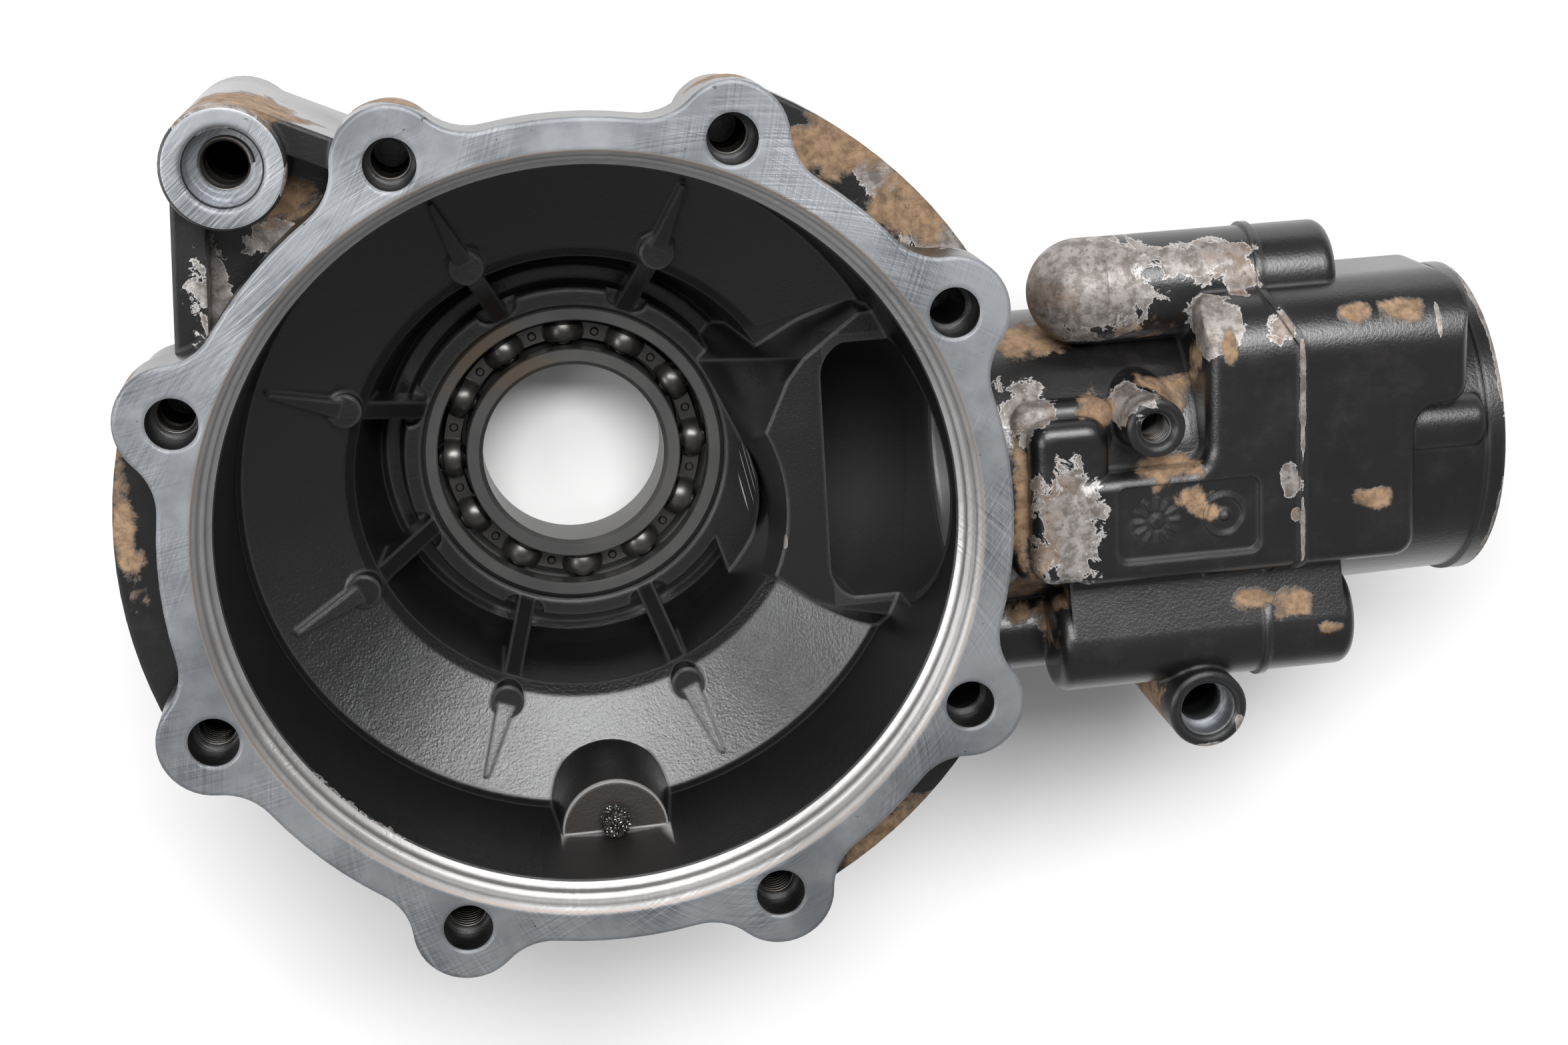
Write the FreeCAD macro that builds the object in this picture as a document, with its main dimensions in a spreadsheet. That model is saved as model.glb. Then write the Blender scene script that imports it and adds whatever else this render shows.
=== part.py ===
import FreeCAD, Part
import math
import os
import Sketcher
from FreeCAD import Placement, Rotation, Vector

# Differential housing: a cast bowl with a bolt flange, a pinion neck and its mount bosses,
# the axle bearing and seal in its hub, and a magnetic drain plug. Millimetres.
# The origin is the centre of the axle bearing. +Z runs along the axle towards the cover
# flange, +X along the pinion neck, and -Y is down when the housing is on the vehicle.

doc = FreeCAD.newDocument("differential_housing")
sheet = doc.addObject("Spreadsheet::Sheet", "Dims")

DRIVING = {
    # cover flange and the bore that centres the cover
    "flange_face": 93.0,
    "flange_thick": 13.0,
    "flange_radius": 92.0,
    "flange_blend": 13.0,
    "lobe_radius": 12.2,
    "lobe_boss_radius": 11.6,
    "lobe_boss_depth": 33.0,
    "bolt_circle": 92.1,
    "bolt_mouth": 5.5,
    "bolt_tap": 4.25,
    "bolt_mouth_deep": 9.0,
    "bolt_tap_deep": 27.0,
    "register_radius": 83.9,
    "register_deep": 4.5,
    "register_step": 1.3,
    "register_chamfer": 1.3,
    "ledge_deep": 3.0,
    # bowl, from the painted wall down to the hub
    "bowl_radius": 81.0,
    "bowl_draft": 1.6,
    "bowl_wall": 7.0,
    "floor_wall": 6.0,
    "shelf_rim": 43.0,
    "shelf_foot": 32.0,
    "shelf_inner": 54.5,
    "trough_radius": 47.5,
    "trough_floor": 0.5,
    "hub_radius": 42.0,
    "hub_top": 9.2,
    "hub_back": 19.0,
    "hub_back_radius": 45.0,
    # web ring behind the flange
    "web_radius": 103.0,
    "web_top": 76.0,
    "web_thick": 9.0,
    # ribs, ejector pads and hub notches inside the bowl
    "pad_radius": 4.0,
    "pad_circle": 57.6,
    "pad_top": 36.0,
    "rib_width": 4.4,
    "rib_tip": 75.0,
    "rib_tip_width": 1.2,
    "rib_foot": 8.4,
    "notch_width": 10.4,
    "notch_radius": 38.6,
    "notch_deep": 4.2,
    "notch_corner": 3.0,
    "back_rib_width": 5.0,
    # axle bearing 45 x 75 x 16
    "bearing_bore": 22.5,
    "bearing_outer": 37.5,
    "bearing_width": 16.0,
    "bearing_chamfer": 1.0,
    "ball_radius": 4.365,
    "ball_circle": 30.0,
    "ball_play": 0.15,
    "inner_shoulder": 26.6,
    "outer_shoulder": 33.6,
    "cage_inner": 28.0,
    "cage_outer": 32.0,
    "cage_sheet": 0.8,
    "cage_play": 0.12,
    "rivet_radius": 0.7,
    "rivet_head": 0.5,
    # axle seal 52 x 68 x 8
    "seal_outer": 34.0,
    "seal_width": 8.0,
    "seal_lip": 26.0,
    "seal_wall": 1.2,
    "shoulder_radius": 32.8,
    "spring_wire": 0.9,
    # drain boss and plug
    "drain_x": 0.5,
    "drain_y": -76.6,
    "drain_boss": 12.5,
    "drain_boss_foot": 14.8,
    "drain_top": 61.0,
    "drain_seat": 22.0,
    "drain_thread": 7.0,
    "drain_thread_top": 46.0,
    "drain_head": 10.5,
    "drain_head_thick": 6.0,
    "drain_socket": 4.6,
    "drain_washer_thick": 1.5,
    "magnet_radius": 3.0,
    "magnet_stand": 3.2,
    "magnet_play": 0.2,
    # pinion nose and window inside the bowl
    "window_left": 57.0,
    "window_half": 31.0,
    "window_corner": 8.0,
    "window_long": 25.0,
    "window_end": 88.0,
    "nose_top": 49.0,
    "scoop_foot_radius": 29.7,
    "scoop_foot_x": 17.2,
    "scoop_foot_y": -19.5,
    "scoop_top_radius": 40.0,
    "scoop_top_x": 7.4,
    "scoop_top_y": -6.5,
    "crescent_radius": 30.8,
    "crescent_x": 14.6,
    "crescent_y": -13.6,
    "pocket_deep": 3.4,
    # pinion neck
    "neck_axis": 47.0,
    "neck_root": 34.0,
    "neck_shoulder": 37.0,
    "neck_shoulder_start": 46.0,
    "neck_shoulder_end": 100.0,
    "neck_root_end": 145.0,
    "neck_barrel": 37.4,
    "neck_barrel_tip": 36.2,
    "neck_barrel_start": 141.0,
    "neck_end": 209.0,
    "neck_ring": 37.2,
    "neck_ring_width": 4.0,
    "pinion_bore": 26.0,
    "pinion_bore_end": 188.0,
    "pinion_seal_bore": 30.0,
    "snap_groove": 1.6,
    # raised saddle and parting bead on the neck
    "saddle_start": 138.0,
    "saddle_long": 48.8,
    "saddle_tail": 12.0,
    "saddle_arm_start": 106.0,
    "saddle_arm_high": 3.4,
    "saddle_low": -22.0,
    "saddle_step": 12.5,
    "saddle_high": 41.8,
    "saddle_top": 88.0,
    "saddle_corner": 5.0,
    "saddle_edge": 3.5,
    "saddle_shoulder": 16.0,
    "bead_x": 159.5,
    "bead_width": 1.6,
    "bead_height": 0.8,
    "bead_shift": 6.0,
    "rod_y": 7.0,
    "rod_z": 79.0,
    "rod_radius": 7.0,
    "rod_end": 204.0,
    # long bosses beside the barrel, bored and tapped from the pinion end
    "side_boss_y": 41.5,
    "side_boss_z": 65.0,
    "side_boss_radius": 12.0,
    "side_boss_start": 115.0,
    "side_boss_end": 172.0,
    "low_boss_end": 177.0,
    "low_boss_start": 106.0,
    "low_root_radius": 10.5,
    "side_boss_edge": 3.0,
    "side_tap": 3.4,
    "side_tap_deep": 20.0,
    # worn stop block, marking pad and small tapped boss
    "block_left": 98.0,
    "block_right": 116.0,
    "block_low": -21.5,
    "block_high": 16.5,
    "block_top": 87.0,
    "block_edge": 5.0,
    "block_shoulder": 3.0,
    "plate_left": 116.6,
    "plate_right": 149.6,
    "plate_low": -16.8,
    "plate_high": 0.8,
    "plate_deep": 1.1,
    "vent_x": 125.2,
    "vent_y": 14.4,
    "vent_radius": 6.6,
    "vent_skirt": 10.2,
    "vent_top": 91.0,
    "vent_tap": 3.4,
    "vent_drill": 1.6,
    "vent_deep": 20.0,
    # frame mount bosses
    "neck_mount_x": 140.0,
    "neck_mount_y": -57.5,
    "neck_mount_radius": 9.3,
    "neck_mount_top": 79.0,
    "neck_mount_bore": 5.2,
    "neck_mount_mouth": 6.3,
    "arm_mount_x": -68.9,
    "arm_mount_y": 86.4,
    "arm_mount_radius": 13.0,
    "arm_mount_top": 89.0,
    "arm_mount_length": 65.0,
    "arm_mount_bore": 5.4,
    "arm_mount_mouth": 8.0,
    "arm_floor": 70.0,
    "arm_wall": 7.0,
    "mouth_deep": 7.0,
    "mouth_chamfer": 1.0,
    # keel under the neck
    "keel_width": 8.0,
    "keel_foot": 98.0,
    "keel_end": 150.0,
}

for row, (alias, value) in enumerate(DRIVING.items(), start=1):
    sheet.set("A%d" % row, alias.replace("_", " "))
    sheet.set("B%d" % row, "%g" % value)
    sheet.setAlias("B%d" % row, alias)
doc.recompute()

RIB_ANGLES = (67.5, 112.5, 157.5, -157.5, -112.5, -67.5)
BOLT_ANGLES = (29.0, 67.5, 112.5, 157.5, -157.5, -112.5, -67.5, -29.0)
BALL_COUNT = 12


class Size:
    """A length that knows its number and the sheet expression that makes it."""

    def __init__(self, number, text):
        self.number = float(number)
        self.text = text

    def join(self, other, sign, number):
        return Size(number, "(%s %s %s)" % (self.text, sign, other.text))

    def __add__(self, other):
        other = size(other)
        return self.join(other, "+", self.number + other.number)

    def __sub__(self, other):
        other = size(other)
        return self.join(other, "-", self.number - other.number)

    def __mul__(self, other):
        other = size(other)
        return self.join(other, "*", self.number * other.number)

    def __truediv__(self, other):
        other = size(other)
        return self.join(other, "/", self.number / other.number)

    def __radd__(self, other):
        return size(other) + self

    def __rsub__(self, other):
        return size(other) - self

    def __rmul__(self, other):
        return size(other) * self

    def __neg__(self):
        return size(0) - self


def size(value):
    if isinstance(value, Size):
        return value
    return Size(value, "%.6g" % value if value >= 0 else "(0 - %.6g)" % -value)


def dim(alias):
    return Size(sheet.get(alias), "Dims.%s" % alias)


def cos(degrees):
    return Size(math.cos(math.radians(degrees)), "cos(%g)" % degrees)


def sin(degrees):
    return Size(math.sin(math.radians(degrees)), "sin(%g)" % degrees)


def bind(item, **sizes):
    """Bind properties of an object to sheet expressions."""
    for prop, value in sizes.items():
        item.setExpression(prop, size(value).text)
    return item


def put(item, x=0, y=0, z=0, turn=None):
    """Place an object: its turn is fixed and its base follows the sheet."""
    base = Vector(size(x).number, size(y).number, size(z).number)
    item.Placement = Placement(base, turn or Rotation())
    for letter, value in zip("xyz", (x, y, z)):
        item.setExpression("Placement.Base.%s" % letter, size(value).text)
    return item


ALONG_X = Rotation(Vector(0, 1, 0), 90)
ALONG_Z = Rotation()
SECTION = Rotation(Vector(1, 0, 0), 90)
ACROSS = Rotation(Vector(1, 1, 1), 120)


def about_z(degrees):
    return Rotation(Vector(0, 0, 1), degrees)


def cylinder(name, radius, start, end, x=0, y=0, z=0, turn=ALONG_Z):
    """A cylinder from start to end along Z, or along X where turn is ALONG_X."""
    item = doc.addObject("Part::Cylinder", name)
    bind(item, Radius=radius, Height=size(end) - start)
    if turn is ALONG_X:
        return put(item, start, y, z, turn)
    return put(item, x, y, start, turn)


def cone(name, radius, radius_end, start, end, x=0, y=0, z=0, turn=ALONG_Z):
    item = doc.addObject("Part::Cone", name)
    bind(item, Radius1=radius, Radius2=radius_end, Height=size(end) - start)
    if turn is ALONG_X:
        return put(item, start, y, z, turn)
    return put(item, x, y, start, turn)


def sphere(name, radius, x, y, z):
    item = doc.addObject("Part::Sphere", name)
    bind(item, Radius=radius)
    return put(item, x, y, z)


def torus(name, ring, wire, z=0):
    item = doc.addObject("Part::Torus", name)
    bind(item, Radius1=ring, Radius2=wire)
    return put(item, 0, 0, z)


def box(name, x0, x1, y0, y1, z0, z1):
    item = doc.addObject("Part::Box", name)
    bind(item, Length=size(x1) - x0, Width=size(y1) - y0, Height=size(z1) - z0)
    return put(item, x0, y0, z0)


def radial_box(name, degrees, r0, r1, width, z0, z1, middle_x=0, middle_y=0):
    """A box that lies along a radius at the given angle from a middle point."""
    item = doc.addObject("Part::Box", name)
    bind(item, Length=size(r1) - r0, Width=width, Height=size(z1) - z0)
    half = size(width) / 2
    x = size(middle_x) + size(r0) * cos(degrees) + half * sin(degrees)
    y = size(middle_y) + size(r0) * sin(degrees) - half * cos(degrees)
    return put(item, x, y, z0, about_z(degrees))


def radial_wedge(name, degrees, near, far):
    """A tapered rib along a radius. near and far are (r, width, bottom, top)."""
    item = doc.addObject("Part::Wedge", name)
    r0, w0, low0, top0 = [size(value) for value in near]
    r1, w1, low1, top1 = [size(value) for value in far]
    bind(item, Ymin=r0, Ymax=r1, Xmin=-w0 / 2, Xmax=w0 / 2, X2min=-w1 / 2, X2max=w1 / 2)
    bind(item, Zmin=low0, Zmax=top0, Z2min=low1, Z2max=top1)
    return put(item, 0, 0, 0, about_z(degrees - 90))


def outline(name, points, turn=ALONG_Z, z=0):
    """A closed sketch of straight edges whose corners follow the sheet."""
    item = doc.addObject("Sketcher::SketchObject", name)
    corners = [(size(x), size(y)) for x, y in points]
    count = len(corners)
    for index, (x, y) in enumerate(corners):
        next_x, next_y = corners[(index + 1) % count]
        start = Vector(x.number, y.number, 0)
        end = Vector(next_x.number, next_y.number, 0)
        item.addGeometry(Part.LineSegment(start, end), False)
    for index in range(count):
        item.addConstraint(Sketcher.Constraint("Coincident", index, 2, (index + 1) % count, 1))
    for index, (x, y) in enumerate(corners):
        for kind, value in (("DistanceX", x), ("DistanceY", y)):
            place = item.addConstraint(Sketcher.Constraint(kind, -1, 1, index, 1, value.number))
            item.setExpression("Constraints[%d]" % place, value.text)
    put(item, 0, 0, z, turn)
    return item


def turned(name, points):
    """A solid turned about Z from a closed section of (radius, height) corners."""
    item = doc.addObject("Part::Revolution", name)
    item.Source = outline(name + "_section", points, SECTION)
    item.Axis = Vector(0, 0, 1)
    item.Base = Vector(0, 0, 0)
    item.Angle = 360.0
    item.Solid = True
    return item


def raised(name, points, z0, z1):
    """A prism that stands on a plan outline, from z0 to z1."""
    item = doc.addObject("Part::Extrusion", name)
    item.Base = outline(name + "_plan", points, ALONG_Z, z0)
    item.DirMode = "Custom"
    item.Dir = Vector(0, 0, 1)
    item.Solid = True
    return bind(item, LengthFwd=size(z1) - z0)


def bar(name, points, x0, x1):
    """A bar along X from x0 to x1 with a section of (y, z) corners."""
    item = doc.addObject("Part::Extrusion", name)
    item.Base = put(outline(name + "_section", points, ACROSS), x0, 0, 0, ACROSS)
    item.DirMode = "Custom"
    item.Dir = Vector(1, 0, 0)
    item.Solid = True
    return bind(item, LengthFwd=size(x1) - x0)


def spanned(name, sections):
    """A solid with straight sides between two closed sections."""
    item = doc.addObject("Part::Loft", name)
    item.Sections = sections
    item.Solid = True
    item.Ruled = True
    return item


def circle(name, radius, x, y, z):
    item = doc.addObject("Part::Circle", name)
    bind(item, Radius=radius)
    return put(item, x, y, z)


def fuse(name, items, refine=False):
    item = doc.addObject("Part::MultiFuse", name)
    item.Shapes = list(items)
    item.Refine = refine
    return item


def cut(name, base, tools, refine=True):
    """Cut one tool, or several fused first, from a base."""
    item = doc.addObject("Part::Cut", name)
    item.Base = base
    item.Tool = tools[0] if len(tools) == 1 else fuse(name + "_tools", tools)
    item.Refine = refine
    return item


def common(name, items):
    item = doc.addObject("Part::MultiCommon", name)
    item.Shapes = list(items)
    item.Refine = False
    return item


def rounded(name, base, rules):
    """Fillet the edges that each (test, radius) rule picks on the base."""
    doc.recompute()
    item = doc.addObject("Part::Fillet", name)
    item.Base = base
    picked = []
    for number, edge in enumerate(base.Shape.Edges, start=1):
        for test, radius in rules:
            if test(edge):
                picked.append((number, size(radius).number, size(radius).number))
                break
    item.Edges = picked
    return item


def upright(edge):
    """True for a straight edge along Z."""
    if edge.Curve.TypeId != "Part::GeomLine":
        return False
    return abs(edge.Curve.Direction.z) > 0.999


def level_at(height):
    """A test for edges that lie in the plane at a height."""
    number = size(height).number
    return lambda edge: all(abs(v.Z - number) < 1e-4 for v in edge.Vertexes)


def along_x(y, z):
    """A test for straight edges along X at a given y and z."""
    at_y = size(y).number
    at_z = size(z).number

    def test(edge):
        if edge.Curve.TypeId != "Part::GeomLine" or abs(edge.Curve.Direction.x) < 0.999:
            return False
        point = edge.Vertexes[0]
        return abs(point.Y - at_y) < 1e-4 and abs(point.Z - at_z) < 1e-4

    return test


def end_at(x):
    """A test for edges that lie in the plane at a given x."""
    number = size(x).number
    return lambda edge: abs(edge.BoundBox.XMin - number) < 1e-3 and edge.BoundBox.XLength < 1e-3


def named(item, label):
    item.Label = label
    return item


# The cover flange: a disc with a lobe at each bolt and soft blends between them.

def make_flange():
    top = dim("flange_face")
    bottom = top - dim("flange_thick")
    disc = cylinder("flange_disc", dim("flange_radius"), bottom, top)
    lobes = []
    for number, angle in enumerate(BOLT_ANGLES):
        x = dim("bolt_circle") * cos(angle)
        y = dim("bolt_circle") * sin(angle)
        lobes.append(cylinder("lobe_%d" % number, dim("lobe_radius"), bottom, top, x, y))
    blank = fuse("flange_blank", [disc] + lobes, refine=True)
    return rounded("flange", blank, [(upright, dim("flange_blend"))])


def make_lobe_bosses():
    top = dim("flange_face") - 1
    bosses = []
    for number, angle in enumerate(BOLT_ANGLES):
        x = dim("bolt_circle") * cos(angle)
        y = dim("bolt_circle") * sin(angle)
        low = top - dim("lobe_boss_depth")
        radius = dim("lobe_boss_radius")
        bosses.append(cone("lobe_boss_%d" % number, radius - 1.2, radius, low, top, x, y))
    return bosses


# The outside of the bowl as one turned solid, and its inside as another that is cut away.

def make_bowl_outside():
    wall = dim("bowl_radius") + dim("bowl_wall")
    under = dim("floor_wall")
    points = [
        (0, -dim("hub_back")),
        (dim("hub_back_radius"), -dim("hub_back")),
        (dim("hub_back_radius") + 1.5, dim("trough_floor") - under),
        (dim("trough_radius") + under, dim("trough_floor") - under),
        (dim("shelf_inner") + 1.5, dim("shelf_foot") - under - 3),
        (wall - 6, dim("shelf_rim") - under),
        (wall - 0.5, dim("shelf_rim") + 3),
        (wall, dim("flange_face") - dim("flange_thick") / 2),
        (0, dim("flange_face") - dim("flange_thick") / 2),
    ]
    return turned("bowl_outside", points)


def make_cavity():
    face = dim("flange_face")
    register = dim("register_radius")
    step = register - dim("register_step")
    first = face - dim("register_deep")
    second = first - dim("ledge_deep")
    points = [
        (0, face + 1),
        (register + dim("register_chamfer") + 1, face + 1),
        (register, face - dim("register_chamfer")),
        (register, first),
        (step, first - 0.4),
        (step, second),
        (dim("bowl_radius"), second - 1.2),
        (dim("bowl_radius") - dim("bowl_draft"), dim("shelf_rim") + 2),
        (dim("bowl_radius") - dim("bowl_draft") - 1.2, dim("shelf_rim")),
        (dim("shelf_inner") + 1, dim("shelf_foot")),
        (dim("shelf_inner") - 1.4, dim("shelf_foot") - 2.4),
        (dim("trough_radius") + 2.2, dim("trough_floor") + 6),
        (dim("trough_radius"), dim("trough_floor") + 1.2),
        (dim("trough_radius") - 1.6, dim("trough_floor")),
        (dim("hub_radius") + 1.2, dim("trough_floor")),
        (dim("hub_radius") + 0.2, dim("trough_floor") + 1),
        (dim("hub_radius"), dim("hub_top") - 0.6),
        (dim("hub_radius") - 0.6, dim("hub_top")),
        (0, dim("hub_top")),
    ]
    return turned("cavity", points)


def make_web_ring():
    """Three web sectors that stand out behind the flange between bolt pairs."""
    top = dim("web_top")
    low = top - dim("web_thick")
    sectors = []
    for number, (start, sweep) in enumerate(((30.0, 38.0), (156.0, 48.0), (-68.0, 38.0))):
        item = cylinder("web_%d" % number, dim("web_radius"), low, top, turn=about_z(start))
        item.Angle = sweep
        sectors.append(item)
    return sectors


# Ribs and ejector pads on the conical shelf, and the ribs on the back.

def make_inner_ribs():
    ribs = []
    width = dim("rib_width")
    top = dim("pad_top")
    for number, angle in enumerate(RIB_ANGLES):
        x = dim("pad_circle") * cos(angle)
        y = dim("pad_circle") * sin(angle)
        pad = cylinder("pad_%d" % number, dim("pad_radius"), dim("shelf_foot") - 8, top, x, y)
        near = (dim("notch_radius") - 1, width, dim("trough_floor") - 1, dim("rib_foot"))
        far = (dim("pad_circle"), width, dim("shelf_foot") - 9, top - 0.8)
        inner = radial_wedge("rib_in_%d" % number, angle, near, far)
        near = (dim("pad_circle"), width, dim("shelf_foot") - 4, top - 0.4)
        far = (dim("rib_tip"), dim("rib_tip_width"), dim("shelf_foot") + 3, dim("shelf_rim") + 0.4)
        outer = radial_wedge("rib_out_%d" % number, angle, near, far)
        ribs.extend([pad, inner, outer])
    return ribs


def make_notches():
    cuts = []
    top = dim("hub_top")
    for number, angle in enumerate(RIB_ANGLES):
        block = radial_box("notch_block_%d" % number, angle, dim("notch_radius"),
                           dim("trough_radius"), dim("notch_width"), top - dim("notch_deep"), top + 1)
        cuts.append(rounded("notch_%d" % number, block, [(upright, dim("notch_corner"))]))
    return cuts


def make_back_ribs():
    ribs = []
    width = dim("back_rib_width")
    for number in range(8):
        angle = 45.0 * number + 22.5
        near = (dim("hub_back_radius") - 2, width, -dim("hub_back") + 5, dim("trough_floor") - 2)
        far = (dim("bowl_radius") + 3, width, dim("shelf_rim") - 12, dim("shelf_rim") + 4)
        ribs.append(radial_wedge("back_rib_%d" % number, angle, near, far))
    return ribs


# The pinion nose inside the bowl, the flat crescent beside the hub and the window.

def make_nose():
    """The block before the window: a flat top, a scooped front and two falling sides."""
    top = dim("nose_top")
    foot = dim("trough_floor") - 1
    wall = dim("bowl_radius") + 3.5
    top_plan = [
        (43.2, 11.0), (49.0, 22.9), (53.3, 28.0), (60, 33), (66.4, 37.6), (wall, 39), (wall, -38),
        (69, -36), (60, -34), (52, -31), (43.6, -24),
    ]
    foot_plan = [
        (42.2, -4.0), (33.6, 9.4), (27.0, 19.5), (44, 36), (62, 44), (wall, 50), (wall, -70),
        (66, -80), (58, -56), (49, -40), (38.5, -34),
    ]
    block = spanned("nose_block", [outline("nose_foot_plan", foot_plan, ALONG_Z, foot),
                                   outline("nose_top_plan", top_plan, ALONG_Z, top)])
    rise = top + 1 - foot
    run = top - foot
    spread = (dim("scoop_top_radius") - dim("scoop_foot_radius")) / run * rise
    over_x = dim("scoop_foot_x") + (dim("scoop_top_x") - dim("scoop_foot_x")) / run * rise
    over_y = dim("scoop_foot_y") + (dim("scoop_top_y") - dim("scoop_foot_y")) / run * rise
    scoop = spanned("nose_scoop", [
        circle("scoop_foot", dim("scoop_foot_radius"), dim("scoop_foot_x"), dim("scoop_foot_y"), foot - 0.01),
        circle("scoop_over", dim("scoop_foot_radius") + spread, over_x, over_y, top + 1)])
    return cut("nose", block, [scoop], refine=False)


def make_crescent():
    disc = cylinder("crescent_disc", dim("crescent_radius"), dim("trough_floor") - 1, dim("hub_top"),
                    dim("crescent_x"), dim("crescent_y"))
    points = [(24, 22), (32.6, 21.1), (43.7, -4.0), (48, -20), (37, -36), (31, -16)]
    sector = raised("crescent_sector", points, dim("trough_floor") - 2, dim("hub_top") + 1)
    return common("crescent", [disc, sector])


def make_pocket():
    """The part of the shelf beside the nose that lies a step lower."""
    deep = dim("pocket_deep")
    wall = dim("bowl_radius") - dim("bowl_draft")
    points = [
        (dim("trough_radius"), dim("shelf_foot") - 8),
        (dim("shelf_inner") + 1, dim("shelf_foot") - deep),
        (wall - 1.2, dim("shelf_rim") - deep),
        (wall, dim("shelf_rim") + 12),
        (dim("trough_radius"), dim("shelf_rim") + 12),
    ]
    lowered = turned("pocket_cone", points)
    plan = [(40, 31.5), (66.6, 40.2), (74, 34), (60, 14), (44, 8)]
    sector = raised("pocket_sector", plan, 0, dim("shelf_rim") + 12)
    return common("pocket", [lowered, sector])


def make_window():
    axis = dim("neck_axis")
    half = dim("window_half")
    bore = cylinder("window_bore", half, dim("window_left"), dim("window_end"), 0, 0, axis, ALONG_X)
    left = dim("window_left")
    block = box("window_block", left, left + dim("window_long"), -half, half, axis, axis + 14)
    corner = dim("window_corner")
    room = box("window_room_block", left, dim("window_end") + 20, -half - 0.5, half + 0.5, axis - half - 2,
               axis + half + 2)
    room_soft = rounded("window_room", room, [(upright, corner + 0.5)])
    return [common("window_round", [bore, room_soft]), rounded("window_soft", block, [(upright, corner)])]


# The hub bores for the bearing and the seal, cut from the front and the back.

def make_hub_bores():
    width = dim("bearing_width")
    back = dim("hub_back")
    seat = cylinder("bearing_seat", dim("bearing_outer"), -width / 2, dim("hub_top") + 1)
    lead = cone("bearing_lead", dim("bearing_outer"), dim("bearing_outer") + 1.4, dim("hub_top") - 0.5,
                dim("hub_top") + 0.9)
    through = cylinder("shoulder_bore", dim("shoulder_radius"), -back - 1, 0)
    seal = cylinder("seal_seat", dim("seal_outer"), -back - 1, -back + dim("seal_width") + 1)
    seal_lead = cone("seal_lead", dim("seal_outer") + 1.6, dim("seal_outer"), -back - 0.8, -back + 0.8)
    return [seat, lead, through, seal, seal_lead]


def make_bolt_holes():
    face = dim("flange_face")
    mouth_low = face - dim("bolt_mouth_deep")
    holes = []
    for number, angle in enumerate(BOLT_ANGLES):
        x = dim("bolt_circle") * cos(angle)
        y = dim("bolt_circle") * sin(angle)
        holes.append(cylinder("bolt_mouth_%d" % number, dim("bolt_mouth"), mouth_low, face + 1, x, y))
        holes.append(cylinder("bolt_tap_%d" % number, dim("bolt_tap"), face - dim("bolt_tap_deep"), face, x, y))
    return holes


# The drain boss half sunk in the bowl wall, and the plug that screws in from the back.

def make_drain_boss():
    x = dim("drain_x")
    y = dim("drain_y") - 2.6
    base = dim("shelf_rim") - 4
    boss = cone("drain_boss_inside", dim("drain_boss_foot"), dim("drain_boss"), base, dim("drain_top"), x, y)
    tube = cylinder("drain_boss_back", dim("drain_boss"), dim("drain_seat"), base + 1, x, dim("drain_y"))
    return boss, tube


def make_drain_holes():
    x = dim("drain_x")
    y = dim("drain_y")
    tap = cylinder("drain_tap", dim("drain_thread"), dim("drain_seat") - 1, dim("drain_thread_top"), x, y)
    tip = cylinder("drain_tip_hole", dim("magnet_radius") + dim("magnet_play"), dim("drain_thread_top") - 1,
                   dim("drain_top") + 1, x, y)
    face = cylinder("drain_spotface", dim("drain_head") + 1.2, dim("drain_seat") - 30, dim("drain_seat"), x, y)
    return [tap, tip, face]


def make_drain_plug():
    x = dim("drain_x")
    y = dim("drain_y")
    seat = dim("drain_seat") - dim("drain_washer_thick")
    low = seat - dim("drain_head_thick")
    magnet = dim("magnet_radius")
    head = cylinder("plug_head", dim("drain_head"), low, seat, x, y)
    shank = cylinder("plug_shank", dim("drain_thread"), seat - 1, dim("drain_thread_top") - 1, x, y)
    sleeve = cylinder("plug_sleeve", magnet, dim("drain_thread_top") - 2, dim("drain_top") - 1, x, y)
    socket = doc.addObject("Part::Prism", "plug_socket")
    socket.Polygon = 6
    bind(socket, Circumradius=dim("drain_socket"), Height=dim("drain_head_thick") + 1)
    put(socket, x, y, low - 1)
    body = fuse("plug_body", [head, shank, sleeve], refine=True)
    edge = rounded("plug_soft", body, [(level_at(low), 0.8)])
    named(cut("drain_plug_solid", edge, [socket]), "drain_plug")
    tip = cylinder("magnet_body", magnet, dim("drain_top") - 1, dim("drain_top") + dim("magnet_stand"), x, y)
    top = level_at(dim("drain_top") + dim("magnet_stand"))
    named(rounded("magnet_soft", tip, [(top, 0.8)]), "drain_plug_magnet")
    ring = cylinder("washer_disc", dim("drain_head") + 0.3, seat, dim("drain_seat"), x, y)
    hole = cylinder("washer_hole", dim("drain_thread") + 0.2, seat - 1, dim("drain_seat") + 1, x, y)
    named(cut("washer_solid", ring, [hole]), "drain_washer")


# The pinion neck: root, barrel, end ring, saddle, rod, side bosses and bead.

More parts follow.
